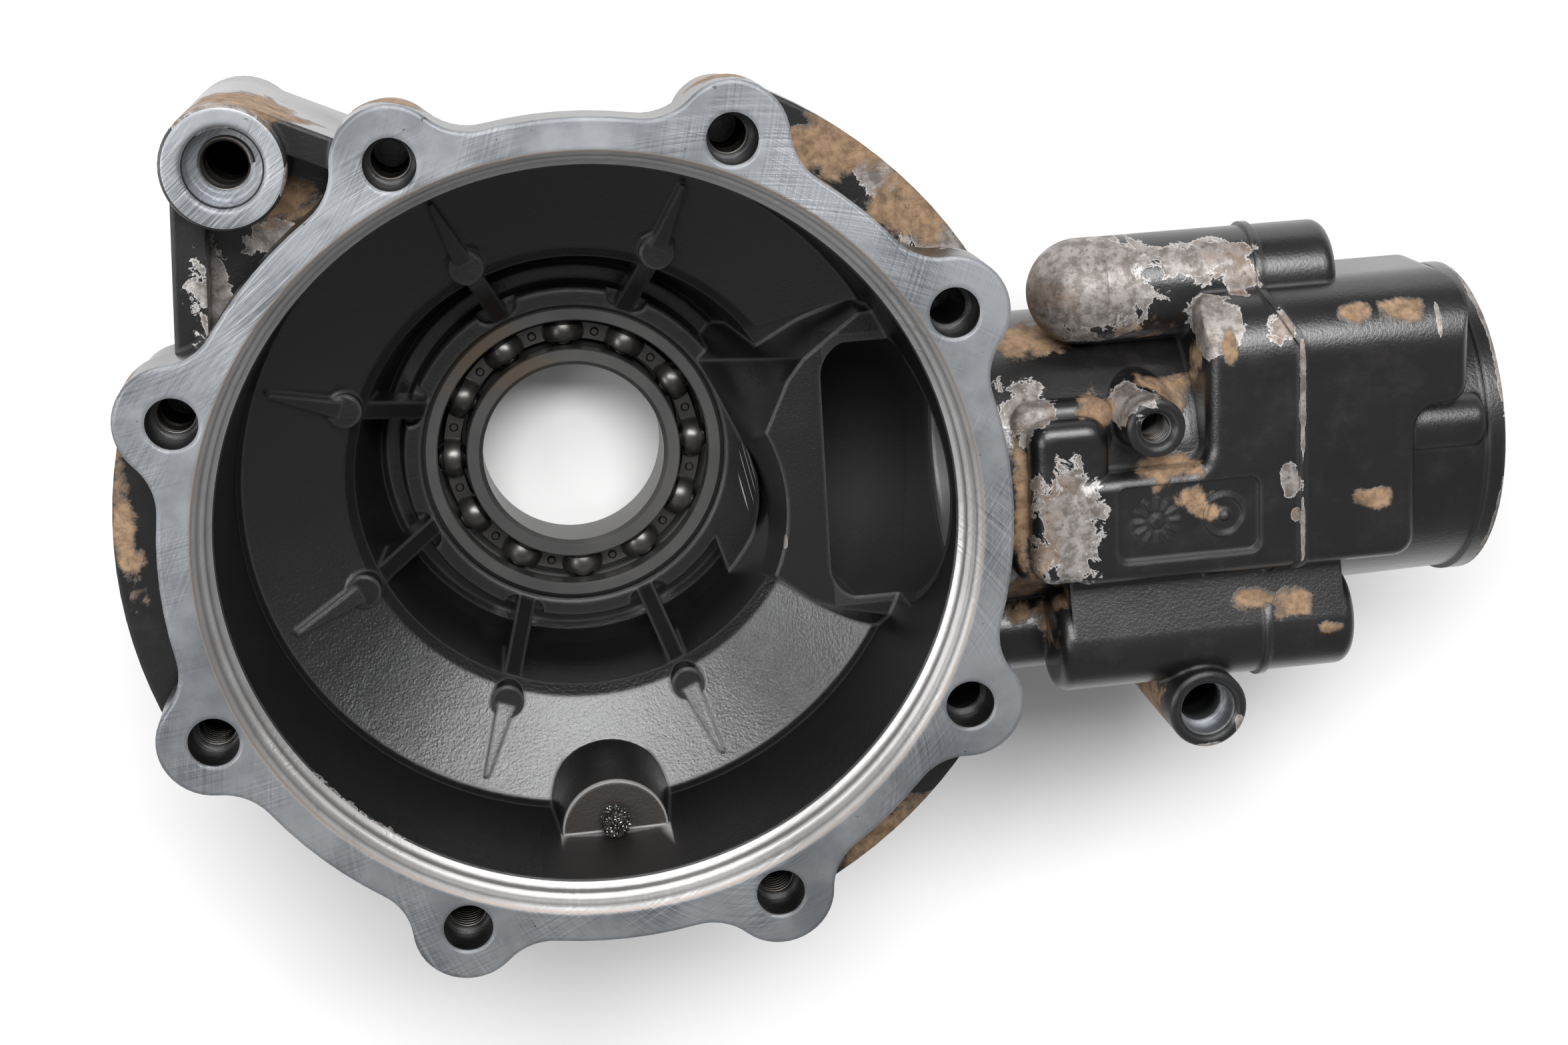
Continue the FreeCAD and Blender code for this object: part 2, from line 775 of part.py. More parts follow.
def make_saddle():
    """The raised saddle: an L in plan with a longer upper tail and a wide upper shoulder."""
    top = dim("saddle_top")
    base = dim("neck_axis") + 8
    low = dim("saddle_low")
    high = dim("saddle_high")
    start = dim("saddle_start")
    low_end = start + dim("saddle_long")
    high_end = low_end + dim("saddle_tail")
    arm_start = dim("saddle_arm_start")
    arm_high = dim("saddle_arm_high")
    plan = [
        (arm_start, low), (low_end, low), (low_end, dim("saddle_step")), (high_end, dim("saddle_step")),
        (high_end, high), (start, high), (start, arm_high), (arm_start, arm_high),
    ]
    block = raised("saddle_block", plan, base, top)
    soft = rounded("saddle_soft", block, [(upright, dim("saddle_corner"))])
    edged = rounded("saddle_edged", soft, [(level_at(top), dim("saddle_edge"))])
    crown = bar("saddle_crown", saddle_section(0), arm_start - 1, high_end + 1)
    shoulder = rounded("saddle_shoulder_soft", crown, [(along_x(high, top), dim("saddle_shoulder"))])
    return common("saddle", [edged, shoulder])


def saddle_section(grow):
    """The saddle's section of (y, z) corners, larger all round by grow."""
    low = dim("saddle_low") - grow
    high = dim("saddle_high") + grow
    return [(low, dim("neck_axis")), (high, dim("neck_axis")), (high, dim("saddle_top") + grow),
            (low, dim("saddle_top") + grow)]


def make_side_boss(name, side, start, end):
    y = dim("side_boss_y") * side
    tube = cylinder(name, dim("side_boss_radius"), start, end, 0, y, dim("side_boss_z"), ALONG_X)
    edge = dim("side_boss_edge")
    return rounded(name + "_soft", tube, [(end_at(end), edge), (end_at(start), edge)])


def make_boss_blend():
    """The slope that leads from the saddle down onto the lower side boss."""
    lean = 75.0
    radius = dim("side_boss_radius")
    touch_y = radius * cos(lean) - dim("side_boss_y")
    touch_z = dim("side_boss_z") + radius * sin(lean)
    inner = dim("saddle_low") + 6
    fall = (inner - touch_y) * cos(lean) / sin(lean)
    section = [
        (touch_y, dim("side_boss_z") - radius + 1), (inner, dim("side_boss_z") - radius),
        (inner, touch_z - fall), (touch_y, touch_z),
    ]
    edge = dim("side_boss_edge")
    return bar("low_boss_blend", section, dim("low_boss_start") + edge, dim("low_boss_end") - edge)


def make_bead():
    """The thin parting bead: one bent band that follows everything it crosses."""
    x = dim("bead_x")
    half = dim("bead_width") / 2
    grow = dim("bead_height")
    axis = dim("neck_axis")
    low = dim("saddle_low")
    high = dim("saddle_high")
    top = dim("saddle_top") + grow
    side = x - dim("bead_shift")
    under = x - dim("bead_shift") * 0.7
    reach = dim("side_boss_y") + dim("side_boss_radius") + 3
    plan = [
        (under - half, -reach), (under + half, -reach), (under + half, low - 6), (x + half, low + 1),
        (x + half, high - 12), (side + half, high - 1), (side + half, reach), (side - half, reach),
        (side - half, high - 1), (x - half, high - 12), (x - half, low + 1), (under - half, low - 6),
    ]
    band = raised("bead_band", plan, axis, top + 1)
    over = bar("bead_saddle", saddle_section(grow), side - 4, x + 4)
    over_soft = rounded("bead_saddle_soft", over, [
        (along_x(high + grow, top), dim("saddle_shoulder") + grow), (along_x(low - grow, top), dim("saddle_edge") + grow)])
    grown = [over_soft]
    grown.append(cylinder("bead_ring", dim("neck_barrel") + grow * 0.6, side - 4, x + 4, 0, 0, axis, ALONG_X))
    for number in (1, -1):
        grown.append(cylinder("bead_boss_%d" % number, dim("side_boss_radius") + grow, side - 4, x + 4, 0,
                              dim("side_boss_y") * number, dim("side_boss_z"), ALONG_X))
    return common("bead", [band, fuse("bead_over", grown)])


def make_neck_shoulder():
    """The cone that carries the neck into the bowl and backs the window."""
    return cone("neck_shoulder", dim("neck_shoulder"), dim("neck_root"), dim("neck_shoulder_start"),
                dim("neck_shoulder_end"), 0, 0, dim("neck_axis"), ALONG_X)


def make_neck():
    axis = dim("neck_axis")
    end = dim("neck_end")
    root = cylinder("neck_root_tube", dim("neck_root"), dim("neck_shoulder_end") - 1, dim("neck_root_end"),
                    0, 0, axis, ALONG_X)
    barrel = cone("neck_barrel_tube", dim("neck_barrel"), dim("neck_barrel_tip"), dim("neck_barrel_start"),
                  end - 1, 0, 0, axis, ALONG_X)
    ring = cylinder("neck_ring_tube", dim("neck_ring"), end - dim("neck_ring_width"), end, 0, 0, axis, ALONG_X)
    rod = cylinder("rod", dim("rod_radius"), dim("saddle_start") + dim("saddle_long") - 5, dim("rod_end"), 0,
                   dim("rod_y"), dim("rod_z"), ALONG_X)
    rod_soft = rounded("rod_soft", rod, [(end_at(dim("rod_end")), 2.0)])
    dome = sphere("top_boss_dome", dim("side_boss_radius"), dim("side_boss_start"), dim("side_boss_y"),
                  dim("side_boss_z"))
    low_root = cylinder("low_root", dim("low_root_radius"), dim("bowl_radius") + 3, dim("low_boss_start") + 8,
                        0, -dim("side_boss_y"), dim("neck_axis") + 4, ALONG_X)
    return [
        root, make_neck_shoulder(), barrel, ring, rod_soft, make_saddle(), dome, low_root,
        make_side_boss("top_boss", 1, dim("side_boss_start"), dim("side_boss_end")),
        make_side_boss("low_boss", -1, dim("low_boss_start"), dim("low_boss_end")),
        make_boss_blend(), make_bead(),
    ]


def make_neck_bores():
    axis = dim("neck_axis")
    end = dim("neck_end")
    stop = dim("pinion_bore_end")
    seat = cylinder("pinion_seat", dim("pinion_bore"), dim("window_end") - 1, stop + 1, 0, 0, axis, ALONG_X)
    seal = cylinder("pinion_seal_seat", dim("pinion_seal_bore"), stop, end + 1, 0, 0, axis, ALONG_X)
    groove = cylinder("snap_groove_cut", dim("pinion_seal_bore") + dim("snap_groove"), end - 8, end - 6,
                      0, 0, axis, ALONG_X)
    lead = cone("pinion_lead", dim("pinion_seal_bore"), dim("pinion_seal_bore") + 2, end - 1.5, end + 0.5,
                0, 0, axis, ALONG_X)
    cuts = [seat, seal, groove, lead]
    for name, side, boss_end in (("top_tap", 1, dim("side_boss_end")), ("low_tap", -1, dim("low_boss_end"))):
        cuts.append(cylinder(name, dim("side_tap"), boss_end - dim("side_tap_deep"), boss_end + 1, 0,
                             dim("side_boss_y") * side, dim("side_boss_z"), ALONG_X))
    return cuts


# Details on the neck root: worn block, marking recess and small tapped boss.

def make_root_details():
    block = box("stop_block", dim("block_left"), dim("block_right"), dim("block_low"), dim("block_high"),
                dim("neck_axis"), dim("block_top"))
    edge = dim("block_edge")
    block_soft = rounded("stop_block_soft", block, [(upright, edge), (level_at(dim("block_top")), edge - 1)])
    more = dim("block_shoulder")
    under_top = dim("block_top") - 6.5
    under = box("block_shoulder_block", dim("block_left") - more, dim("block_right") + more,
                dim("block_low") - 1, dim("block_high") + more, dim("neck_axis"), under_top)
    under_soft = rounded("block_shoulder_soft", under, [(upright, edge), (level_at(under_top), more)])
    vent = cylinder("vent_boss", dim("vent_radius"), dim("neck_axis") + 10, dim("vent_top"),
                    dim("vent_x"), dim("vent_y"))
    vent_soft = rounded("vent_boss_soft", vent, [(level_at(dim("vent_top")), 0.7)])
    skirt = cone("vent_skirt_cone", dim("vent_skirt"), dim("vent_radius"), dim("vent_top") - 21,
                 dim("vent_top") - 9, dim("vent_x"), dim("vent_y"))
    return [block_soft, under_soft, vent_soft, skirt]


def make_root_cuts():
    recess = box("marking_recess", dim("plate_left"), dim("plate_right"), dim("plate_low"),
                 dim("plate_high"), dim("saddle_top") - dim("plate_deep"), dim("saddle_top") + 1)
    recess_soft = rounded("marking_recess_soft", recess, [(upright, 2.4)])
    top = dim("vent_top")
    tap = cylinder("vent_tap", dim("vent_tap"), top - dim("vent_deep"), top + 1, dim("vent_x"), dim("vent_y"))
    lead = cone("vent_lead", dim("vent_tap"), dim("vent_tap") + 1.6, top - 1.2, top + 0.4,
                dim("vent_x"), dim("vent_y"))
    drill = cylinder("vent_drill_hole", dim("vent_drill"), dim("neck_axis") + 10, top, dim("vent_x"), dim("vent_y"))
    return [recess_soft, tap, lead, drill]


def make_marking():
    """The mould's date wheel and its round dial, plain and without figures."""
    floor = dim("saddle_top") - dim("plate_deep")
    y = (dim("plate_low") + dim("plate_high")) / 2
    left = dim("plate_left") + 9.3
    right = dim("plate_right") - 8.0
    marks = [cylinder("wheel_hub", 1.5, floor - 0.5, floor + 0.5, left, y)]
    for number in range(12):
        marks.append(radial_box("wheel_tick_%d" % number, 30.0 * number, 2.6, 5.4, 0.7,
                                floor - 0.5, floor + 0.4, left, y))
    disc = cylinder("dial_disc", 5.0, floor - 0.5, floor + 0.5, right, y)
    dish = cylinder("dial_dish", 4.2, floor - 0.1, floor + 1.5, right, y)
    marks.append(cut("dial_ring", disc, [dish]))
    marks.append(sphere("dial_dome", 1.5, right, y, floor - 0.3))
    return marks


# Mount bosses: one on the arm beside the bowl and one under the neck.

def make_arm_mount():
    x = dim("arm_mount_x")
    y = dim("arm_mount_y")
    radius = dim("arm_mount_radius")
    top = dim("arm_mount_top")
    low = top - dim("arm_mount_length")
    boss = cylinder("arm_boss", radius, low, top, x, y)
    boss_soft = rounded("arm_boss_soft", boss, [(level_at(top), 0.8)])
    left = (x - radius * cos(22.0), y - radius * sin(22.0))
    upper = (x + radius * cos(68.0), y + radius * sin(68.0))
    near_left = (dim("bolt_circle") * cos(157.5), dim("bolt_circle") * sin(157.5))
    near_upper = (dim("bolt_circle") * cos(112.5), dim("bolt_circle") * sin(112.5))
    inner = (size(-50), size(50))
    plan = [left, near_left, inner, near_upper, upper]
    floor = raised("arm_floor_web", plan, low + 8, dim("arm_floor"))
    wall = dim("arm_wall")
    down_left = [left, near_left, (near_left[0] + wall, near_left[1]), (left[0] + wall, left[1])]
    left_wall = raised("arm_left_wall", down_left, low + 8, top - 8)
    across = [upper, (upper[0], upper[1] - wall), (near_upper[0], near_upper[1] - wall), near_upper]
    upper_wall = raised("arm_upper_wall", across, low + 8, top - 5)
    return [boss_soft, floor, left_wall, upper_wall]


def make_neck_mount():
    x = dim("neck_mount_x")
    y = dim("neck_mount_y")
    top = dim("neck_mount_top")
    boss = cylinder("neck_boss", dim("neck_mount_radius"), -dim("hub_back"), top, x, y)
    soft = rounded("neck_boss_soft", boss, [(level_at(top), 0.7)])
    inner = 4 - dim("side_boss_y")
    plan = [
        (x - 6.2, y), (x + 6.2, y), (x + 6.6, y + 7), (x + 9, y + 11), (x + 14, inner),
        (x - 15, inner), (x - 10, y + 11), (x - 6.8, y + 7),
    ]
    web = raised("neck_boss_web", plan, 20, top - 7)
    lower = box("neck_boss_web_low", x - 4, x + 4, y, 0, size(8), size(26))
    return [soft, web, lower]


def make_mount_holes():
    holes = []
    spots = (
        ("arm", dim("arm_mount_x"), dim("arm_mount_y"), dim("arm_mount_top"),
         dim("arm_mount_top") - dim("arm_mount_length")),
        ("neck", dim("neck_mount_x"), dim("neck_mount_y"), dim("neck_mount_top"), -dim("hub_back")),
    )
    for name, x, y, top, low in spots:
        bore = dim(name + "_mount_bore")
        mouth = dim(name + "_mount_mouth")
        chamfer = dim("mouth_chamfer")
        holes.append(cylinder(name + "_bore", bore, low - 1, top, x, y))
        holes.append(cylinder(name + "_mouth", mouth, top - dim("mouth_deep"), top + 1, x, y))
        holes.append(cone(name + "_mouth_lead", mouth, mouth + chamfer + 0.5, top - chamfer, top + 0.5, x, y))
    return holes


def make_keel():
    """The keel that stiffens the neck from below and stands level with the hub's back."""
    half = dim("keel_width") / 2
    low = -dim("hub_back")
    item = doc.addObject("Part::Extrusion", "keel")
    points = [
        (dim("hub_back_radius") - 8, low),
        (dim("keel_foot"), low),
        (dim("keel_end"), dim("neck_axis") - dim("neck_root") - 2),
        (dim("keel_end"), dim("neck_axis") - dim("neck_root") + 4),
        (60, 20),
        (dim("hub_back_radius") - 8, 0),
    ]
    item.Base = outline("keel_side", points, SECTION)
    item.DirMode = "Custom"
    item.Dir = Vector(0, -1, 0)
    item.Solid = True
    item.Symmetric = True
    bind(item, LengthFwd=half * 2)
    return item


def make_housing():
    """Outer masses, then the hollow, then what stands in the hollow, then every hole."""
    drain_inside, drain_back = make_drain_boss()
    bowl_outside = make_bowl_outside()
    bowl = fuse("bowl_mass", [bowl_outside, make_flange(), drain_back] + make_web_ring())
    bowl_ribbed = fuse("bowl_ribbed", [bowl] + make_lobe_bosses() + make_back_ribs() + make_arm_mount())
    neck = fuse("neck_mass", make_neck())
    neck_dressed = fuse("neck_dressed", [neck, make_keel()] + make_root_details() + make_neck_mount())
    hollow = [make_cavity(), make_pocket()] + make_notches()
    shell = cut("casting_shell", fuse("casting_mass", [bowl_ribbed, neck_dressed]), hollow)
    inside = make_inner_ribs() + [make_crescent(), drain_inside]
    limit = cylinder("inner_limit", dim("bowl_radius") + 2, dim("trough_floor") - 3, dim("flange_face") - 12)
    envelope = fuse("inner_envelope", [bowl_outside, doc.getObject("neck_shoulder")])
    room = common("inner_room", [limit, envelope])
    within = common("inner_features", [fuse("inner_mass", inside), room])
    nosed = fuse("nosed_shell", [shell, common("nose_within", [make_nose(), room])])
    body = fuse("casting", [nosed, within])
    cuts = make_window() + make_hub_bores() + make_bolt_holes() + make_drain_holes()
    cuts += make_neck_bores() + make_root_cuts() + make_mount_holes()
    drilled = cut("drilled_casting", body, cuts)
    named(fuse("housing_solid", [drilled] + make_marking()), "housing")


# The axle bearing: rings, balls and a riveted sheet cage in two halves.

def make_bearing():
    half = dim("bearing_width") / 2
    soft = dim("bearing_chamfer")
    bore = dim("bearing_bore")
    outer = dim("bearing_outer")
    inner_land = dim("inner_shoulder")
    outer_land = dim("outer_shoulder")
    track = dim("ball_radius") + dim("ball_play")
    inner_points = [
        (bore + soft, -half), (inner_land - 0.3, -half), (inner_land, -half + 0.3),
        (inner_land, half - 0.3), (inner_land - 0.3, half), (bore + soft, half),
        (bore, half - soft), (bore, -half + soft),
    ]
    outer_points = [
        (outer_land + 0.3, -half), (outer - soft, -half), (outer, -half + soft),
        (outer, half - soft), (outer - soft, half), (outer_land + 0.3, half),
        (outer_land, half - 0.3), (outer_land, -half + 0.3),
    ]
    for label, points in (("bearing_inner_ring", inner_points), ("bearing_outer_ring", outer_points)):
        groove = torus(label + "_groove", dim("ball_circle"), track)
        named(cut(label + "_solid", turned(label + "_blank", points), [groove]), label)


def ball_angle(number):
    return 90.0 + 360.0 / BALL_COUNT * number


def make_balls():
    for number in range(BALL_COUNT):
        angle = ball_angle(number)
        x = dim("ball_circle") * cos(angle)
        y = dim("ball_circle") * sin(angle)
        label = "ball_%02d" % (number + 1)
        named(sphere(label + "_solid", dim("ball_radius"), x, y, 0), label)


def make_cage(label, side):
    """One pressed half: a flat ring with a domed pocket over each ball."""
    inner_r = dim("ball_radius") + dim("cage_play")
    outer_r = inner_r + dim("cage_sheet")
    sheet_t = dim("cage_sheet")
    low, high = (size(0), sheet_t) if side > 0 else (-sheet_t, size(0))
    plate = cylinder(label + "_plate", dim("cage_outer"), low, high)
    domes = [plate]
    hollows = []
    for number in range(BALL_COUNT):
        angle = ball_angle(number)
        x = dim("ball_circle") * cos(angle)
        y = dim("ball_circle") * sin(angle)
        domes.append(sphere("%s_dome_%d" % (label, number), outer_r, x, y, 0))
        hollows.append(sphere("%s_hollow_%d" % (label, number), inner_r, x, y, 0))
    reach = outer_r + 1
    low, high = (size(0), reach) if side > 0 else (-reach, size(0))
    band = cut(label + "_band", cylinder(label + "_band_out", dim("cage_outer"), low, high),
               [cylinder(label + "_band_in", dim("cage_inner"), low - 1, high + 1)])
    pressed = common(label + "_pressed", [fuse(label + "_domes", domes), band])
    named(cut(label + "_solid", pressed, hollows + make_rivet_shanks(label + "_hole")), label)


def make_rivet_shanks(name):
    reach = dim("cage_sheet") + 0.5
    shanks = []
    for number in range(BALL_COUNT):
        angle = ball_angle(number + 0.5)
        x = dim("ball_circle") * cos(angle)
        y = dim("ball_circle") * sin(angle)
        shanks.append(cylinder("%s_%d" % (name, number), dim("rivet_radius"), -reach, reach, x, y))
    return shanks


def make_rivets():
    sheet_t = dim("cage_sheet")
    head = dim("rivet_head")
    parts = []
    for number in range(BALL_COUNT):
        angle = ball_angle(number + 0.5)
        x = dim("ball_circle") * cos(angle)
        y = dim("ball_circle") * sin(angle)
        parts.append(cylinder("rivet_%d" % number, dim("rivet_radius"), -sheet_t - 0.1, sheet_t + 0.1, x, y))
        parts.append(cone("rivet_top_%d" % number, dim("rivet_radius") + 0.45, dim("rivet_radius"),
                          sheet_t, sheet_t + head, x, y))
        parts.append(cone("rivet_low_%d" % number, dim("rivet_radius"), dim("rivet_radius") + 0.45,
                          -sheet_t - head, -sheet_t, x, y))
    named(fuse("rivets_solid", parts), "cage_rivets")


# The axle seal: a steel case with a rubber lip, and the garter spring behind the lip.

def make_seal():
    back = -dim("hub_back") + 0.5
    front = back + dim("seal_width")
    outer = dim("seal_outer")
    wall = dim("seal_wall")
    lip = dim("seal_lip")
    points = [
        (outer, back), (outer, front), (outer - wall, front), (outer - wall, back + wall),
        (lip + 3.6, back + wall), (lip + 1.4, back + wall + 1.4), (lip + 1.4, front - 1.2),
        (lip, front - 2.6), (lip + 1.0, back + wall), (lip - 0.4 + 1.0, back + 0.2),
        (lip + 2.2, back),
    ]
    blank = turned("seal_blank", points)
    named(blank, "oil_seal")
    ring = lip + 1.4 + dim("spring_wire")
    named(torus("spring_solid", ring, dim("spring_wire"), front - 2.4), "seal_garter_spring")


make_housing()
make_bearing()
make_balls()
make_cage("cage_front", 1)
make_cage("cage_rear", -1)
make_rivets()
make_seal()
make_drain_plug()
doc.recompute()

LABELS = ["housing", "bearing_outer_ring", "bearing_inner_ring", "cage_front", "cage_rear",
          "cage_rivets", "oil_seal", "seal_garter_spring", "drain_plug", "drain_plug_magnet",
          "drain_washer"]
LABELS += ["ball_%02d" % (number + 1) for number in range(BALL_COUNT)]

for item in doc.Objects:
    if "Invalid" in item.State or "Error" in item.State:
        raise RuntimeError("%s failed: %s" % (item.Name, item.State))

os.makedirs("parts", exist_ok=True)
for label in LABELS:
    found = doc.getObjectsByLabel(label)
    if len(found) != 1:
        raise RuntimeError("%s is made %d times" % (label, len(found)))
    shape = found[0].Shape
    if shape.isNull() or not shape.isValid() or not shape.Solids:
        raise RuntimeError("%s has no valid solid" % label)
    shape.exportStep("parts/%s.step" % label)
    box_now = shape.optimalBoundingBox(False)
    print("%-20s solids %d volume %.1f  x %.1f %.1f  y %.1f %.1f  z %.1f %.1f" % (
        label, len(shape.Solids), shape.Volume, box_now.XMin, box_now.XMax,
        box_now.YMin, box_now.YMax, box_now.ZMin, box_now.ZMax))
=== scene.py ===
# %% [markdown]
# A worn differential housing
#
# The real object is one aluminium casting: it was poured, painted satin black, and then milled
# where a cover, a bearing or a bolt has to sit. Years of use chipped the paint and packed mud
# into its corners. The solids come ready made as a fixed frame, so this lesson is about the
# finish: how one material can show paint, bare castings, milled faces and mud, each in its place.

# %% Load the frame
import math

import bmesh
import bpy
from mathutils import Matrix, Vector


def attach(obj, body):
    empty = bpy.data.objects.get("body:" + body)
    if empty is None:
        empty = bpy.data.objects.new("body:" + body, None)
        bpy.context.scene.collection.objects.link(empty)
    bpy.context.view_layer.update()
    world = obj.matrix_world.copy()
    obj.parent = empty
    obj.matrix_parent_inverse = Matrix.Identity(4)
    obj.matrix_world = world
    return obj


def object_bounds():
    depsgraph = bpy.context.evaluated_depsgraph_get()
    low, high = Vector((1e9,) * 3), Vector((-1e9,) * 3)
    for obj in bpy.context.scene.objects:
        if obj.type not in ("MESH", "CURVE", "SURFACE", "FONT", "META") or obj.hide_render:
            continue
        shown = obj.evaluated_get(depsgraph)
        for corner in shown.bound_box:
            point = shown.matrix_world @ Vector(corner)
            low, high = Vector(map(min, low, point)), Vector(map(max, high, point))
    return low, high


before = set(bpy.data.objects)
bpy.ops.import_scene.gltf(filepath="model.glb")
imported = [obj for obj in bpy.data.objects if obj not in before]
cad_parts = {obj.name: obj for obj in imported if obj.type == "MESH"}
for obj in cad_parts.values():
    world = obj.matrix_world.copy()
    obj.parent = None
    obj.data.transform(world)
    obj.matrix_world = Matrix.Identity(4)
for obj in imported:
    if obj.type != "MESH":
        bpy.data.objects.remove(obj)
cad_low, cad_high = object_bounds()
MM = 0.001
print("nodes", len(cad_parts), "box", [round(v / MM, 1) for v in cad_high - cad_low])

# %% [markdown]
# The camera
#
# The photographer stood above the bowl and a little to its left. The three directions below are
# the camera's own right, up and back, found once from the bearing's circles and the eight bolt
# holes. A camera set by its directions needs no tracking constraint and can't drift.

# %% Set the camera
CAMERA_PLACE = Vector((-0.0196, 0.1454, 0.5892))
CAMERA_BACK = Vector((-0.1166, 0.2762, 0.954)).normalized()
CAMERA_RIGHT = Vector((0.9887, -0.0585, 0.1378)).normalized()
CAMERA_UP = CAMERA_BACK.cross(CAMERA_RIGHT)

camera_data = bpy.data.cameras.new("photo_camera")
camera_data.lens = 55.1
camera_data.sensor_width = 36.0
camera_data.clip_start = 0.01
camera = bpy.data.objects.new("photo_camera", camera_data)
turn = Matrix((CAMERA_RIGHT, CAMERA_UP, CAMERA_BACK)).transposed().to_4x4()
camera.matrix_world = Matrix.Translation(CAMERA_PLACE) @ turn
scene = bpy.context.scene
scene.collection.objects.link(camera)
scene.camera = camera
scene.view_settings.view_transform = "Standard"
print("camera", round((CAMERA_PLACE - (cad_low + cad_high) / 2).length, 3), "m from the middle")

# %% [markdown]
# Small tools for shader trees
#
# A node tree grows one node at a time, and most nodes only need their sockets filled. These
# helpers take either a plain value or another node's output for any socket, so a tree reads
# like a sum.

# %% Shader helpers
def feed(tree, socket, value):
    """Give a socket a value, or link it when the value is another socket."""
    if isinstance(value, bpy.types.NodeSocket):
        tree.links.new(value, socket)
    elif value is not None:
        socket.default_value = value


def add_node(tree, kind, *values, **settings):
    node = tree.nodes.new("ShaderNode" + kind)
    for name, value in settings.items():
        setattr(node, name, value)
    for socket, value in zip(node.inputs, values):
        feed(tree, socket, value)
    return node


def sums(tree, operation, a, b=None, c=None, clamp=False):
    return add_node(tree, "Math", a, b, c, operation=operation, use_clamp=clamp).outputs[0]


def vectors(tree, operation, a, b=None):
    node = add_node(tree, "VectorMath", a, b, operation=operation)
    return node.outputs["Value" if operation in ("LENGTH", "DOT_PRODUCT", "DISTANCE") else "Vector"]


def noise(tree, place, scale, detail=3.0, roughness=0.5, distortion=0.0, dimensions="3D"):
    node = add_node(tree, "TexNoise", noise_dimensions=dimensions)
    feed(tree, node.inputs["W" if dimensions == "1D" else "Vector"], place)
    for name, value in (("Scale", scale), ("Detail", detail), ("Roughness", roughness),
                        ("Distortion", distortion)):
        feed(tree, node.inputs[name], value)
    return node.outputs[0]


def blend(tree, mask, low, high):
    """Two colours, or two values, mixed by a mask."""
    colours = any(isinstance(v, tuple) or getattr(v, "type", "") == "RGBA" for v in (low, high))
    node = add_node(tree, "Mix", data_type="RGBA" if colours else "FLOAT")
    first = 6 if colours else 2
    feed(tree, node.inputs[0], mask)
    feed(tree, node.inputs[first], (*low, 1.0) if isinstance(low, tuple) else low)
    feed(tree, node.inputs[first + 1], (*high, 1.0) if isinstance(high, tuple) else high)
    return node.outputs[2 if colours else 0]


def step(tree, value, start, end):
    """A soft step from 0 at start to 1 at end."""
    node = add_node(tree, "MapRange", value, start, end, 0.0, 1.0, interpolation_type="SMOOTHSTEP")
    return node.outputs[0]


def band(tree, value, low, high, soft):
    """1 where the value lies between low and high, with soft ends."""
    rise = step(tree, value, low - soft, low + soft)
    fall = step(tree, value, high + soft, high - soft)
    return sums(tree, "MULTIPLY", rise, fall)


def new_group(name, inputs, outputs):
    tree = bpy.data.node_groups.new(name, "ShaderNodeTree")
    for label, kind in inputs:
        tree.interface.new_socket(label, in_out="INPUT", socket_type="NodeSocket" + kind)
    for label, kind in outputs:
        tree.interface.new_socket(label, in_out="OUTPUT", socket_type="NodeSocket" + kind)
    return tree, tree.nodes.new("NodeGroupInput"), tree.nodes.new("NodeGroupOutput")


def use_group(tree, group, **values):
    node = tree.nodes.new("ShaderNodeGroup")
    node.node_tree = group
    for name, value in values.items():
        feed(tree, node.inputs[name.replace("_", " ")], value)
    return node.outputs


# %% [markdown]
# Shared effects
#
# Chips and mud have the same shape of rule: they are certain in the middle of a worn place and
# break up towards its edge. The first group measures how deep a point lies in an ellipsoid, and
# noise added to that number before a threshold gives flakes or smears. The other groups are
# the grain of a sand casting and the arcs that a milling cutter leaves.

# %% Group: how deep a point lies in a worn place
place_group, place_in, place_out = new_group(
    "worn_place", [("Position", "Vector"), ("Centre", "Vector"), ("Reach", "Vector")], [("Level", "Float")])
offset = vectors(place_group, "SUBTRACT", place_in.outputs["Position"], place_in.outputs["Centre"])
scaled = vectors(place_group, "DIVIDE", offset, place_in.outputs["Reach"])
distance = vectors(place_group, "LENGTH", scaled)
feed(place_group, place_out.inputs["Level"], sums(place_group, "SUBTRACT", 1.0, distance))

# %% Group: cast grain
grain_group, grain_in, grain_out = new_group(
    "cast_grain", [("Position", "Vector"), ("Size", "Float")], [("Height", "Float"), ("Gloss", "Float")])
grain_scale = sums(grain_group, "DIVIDE", 1.0, grain_in.outputs["Size"])
fine = noise(grain_group, grain_in.outputs["Position"], grain_scale, 4.0, 0.62)
wide = noise(grain_group, grain_in.outputs["Position"], sums(grain_group, "MULTIPLY", grain_scale, 0.16), 2.0)
height = sums(grain_group, "MULTIPLY_ADD", wide, 0.6, fine)
feed(grain_group, grain_out.inputs["Height"], height)
feed(grain_group, grain_out.inputs["Gloss"], sums(grain_group, "MULTIPLY", wide, fine))

# %% Group: arcs of a milling cutter
mill_group, mill_in, mill_out = new_group(
    "milling_arcs", [("Position", "Vector"), ("Centre", "Vector"), ("Pitch", "Float")], [("Height", "Float")])
from_centre = vectors(mill_group, "DISTANCE", mill_in.outputs["Position"], mill_in.outputs["Centre"])
arcs = noise(mill_group, sums(mill_group, "DIVIDE", from_centre, mill_in.outputs["Pitch"]), 1.0, 3.0, 0.7,
             dimensions="1D")
patches = noise(mill_group, mill_in.outputs["Position"], 60.0, 2.0)
depth = sums(mill_group, "MULTIPLY", sums(mill_group, "SUBTRACT", arcs, 0.5), step(mill_group, patches, 0.35, 0.7))
feed(mill_group, mill_out.inputs["Height"], depth)
print("groups", [g.name for g in bpy.data.node_groups])


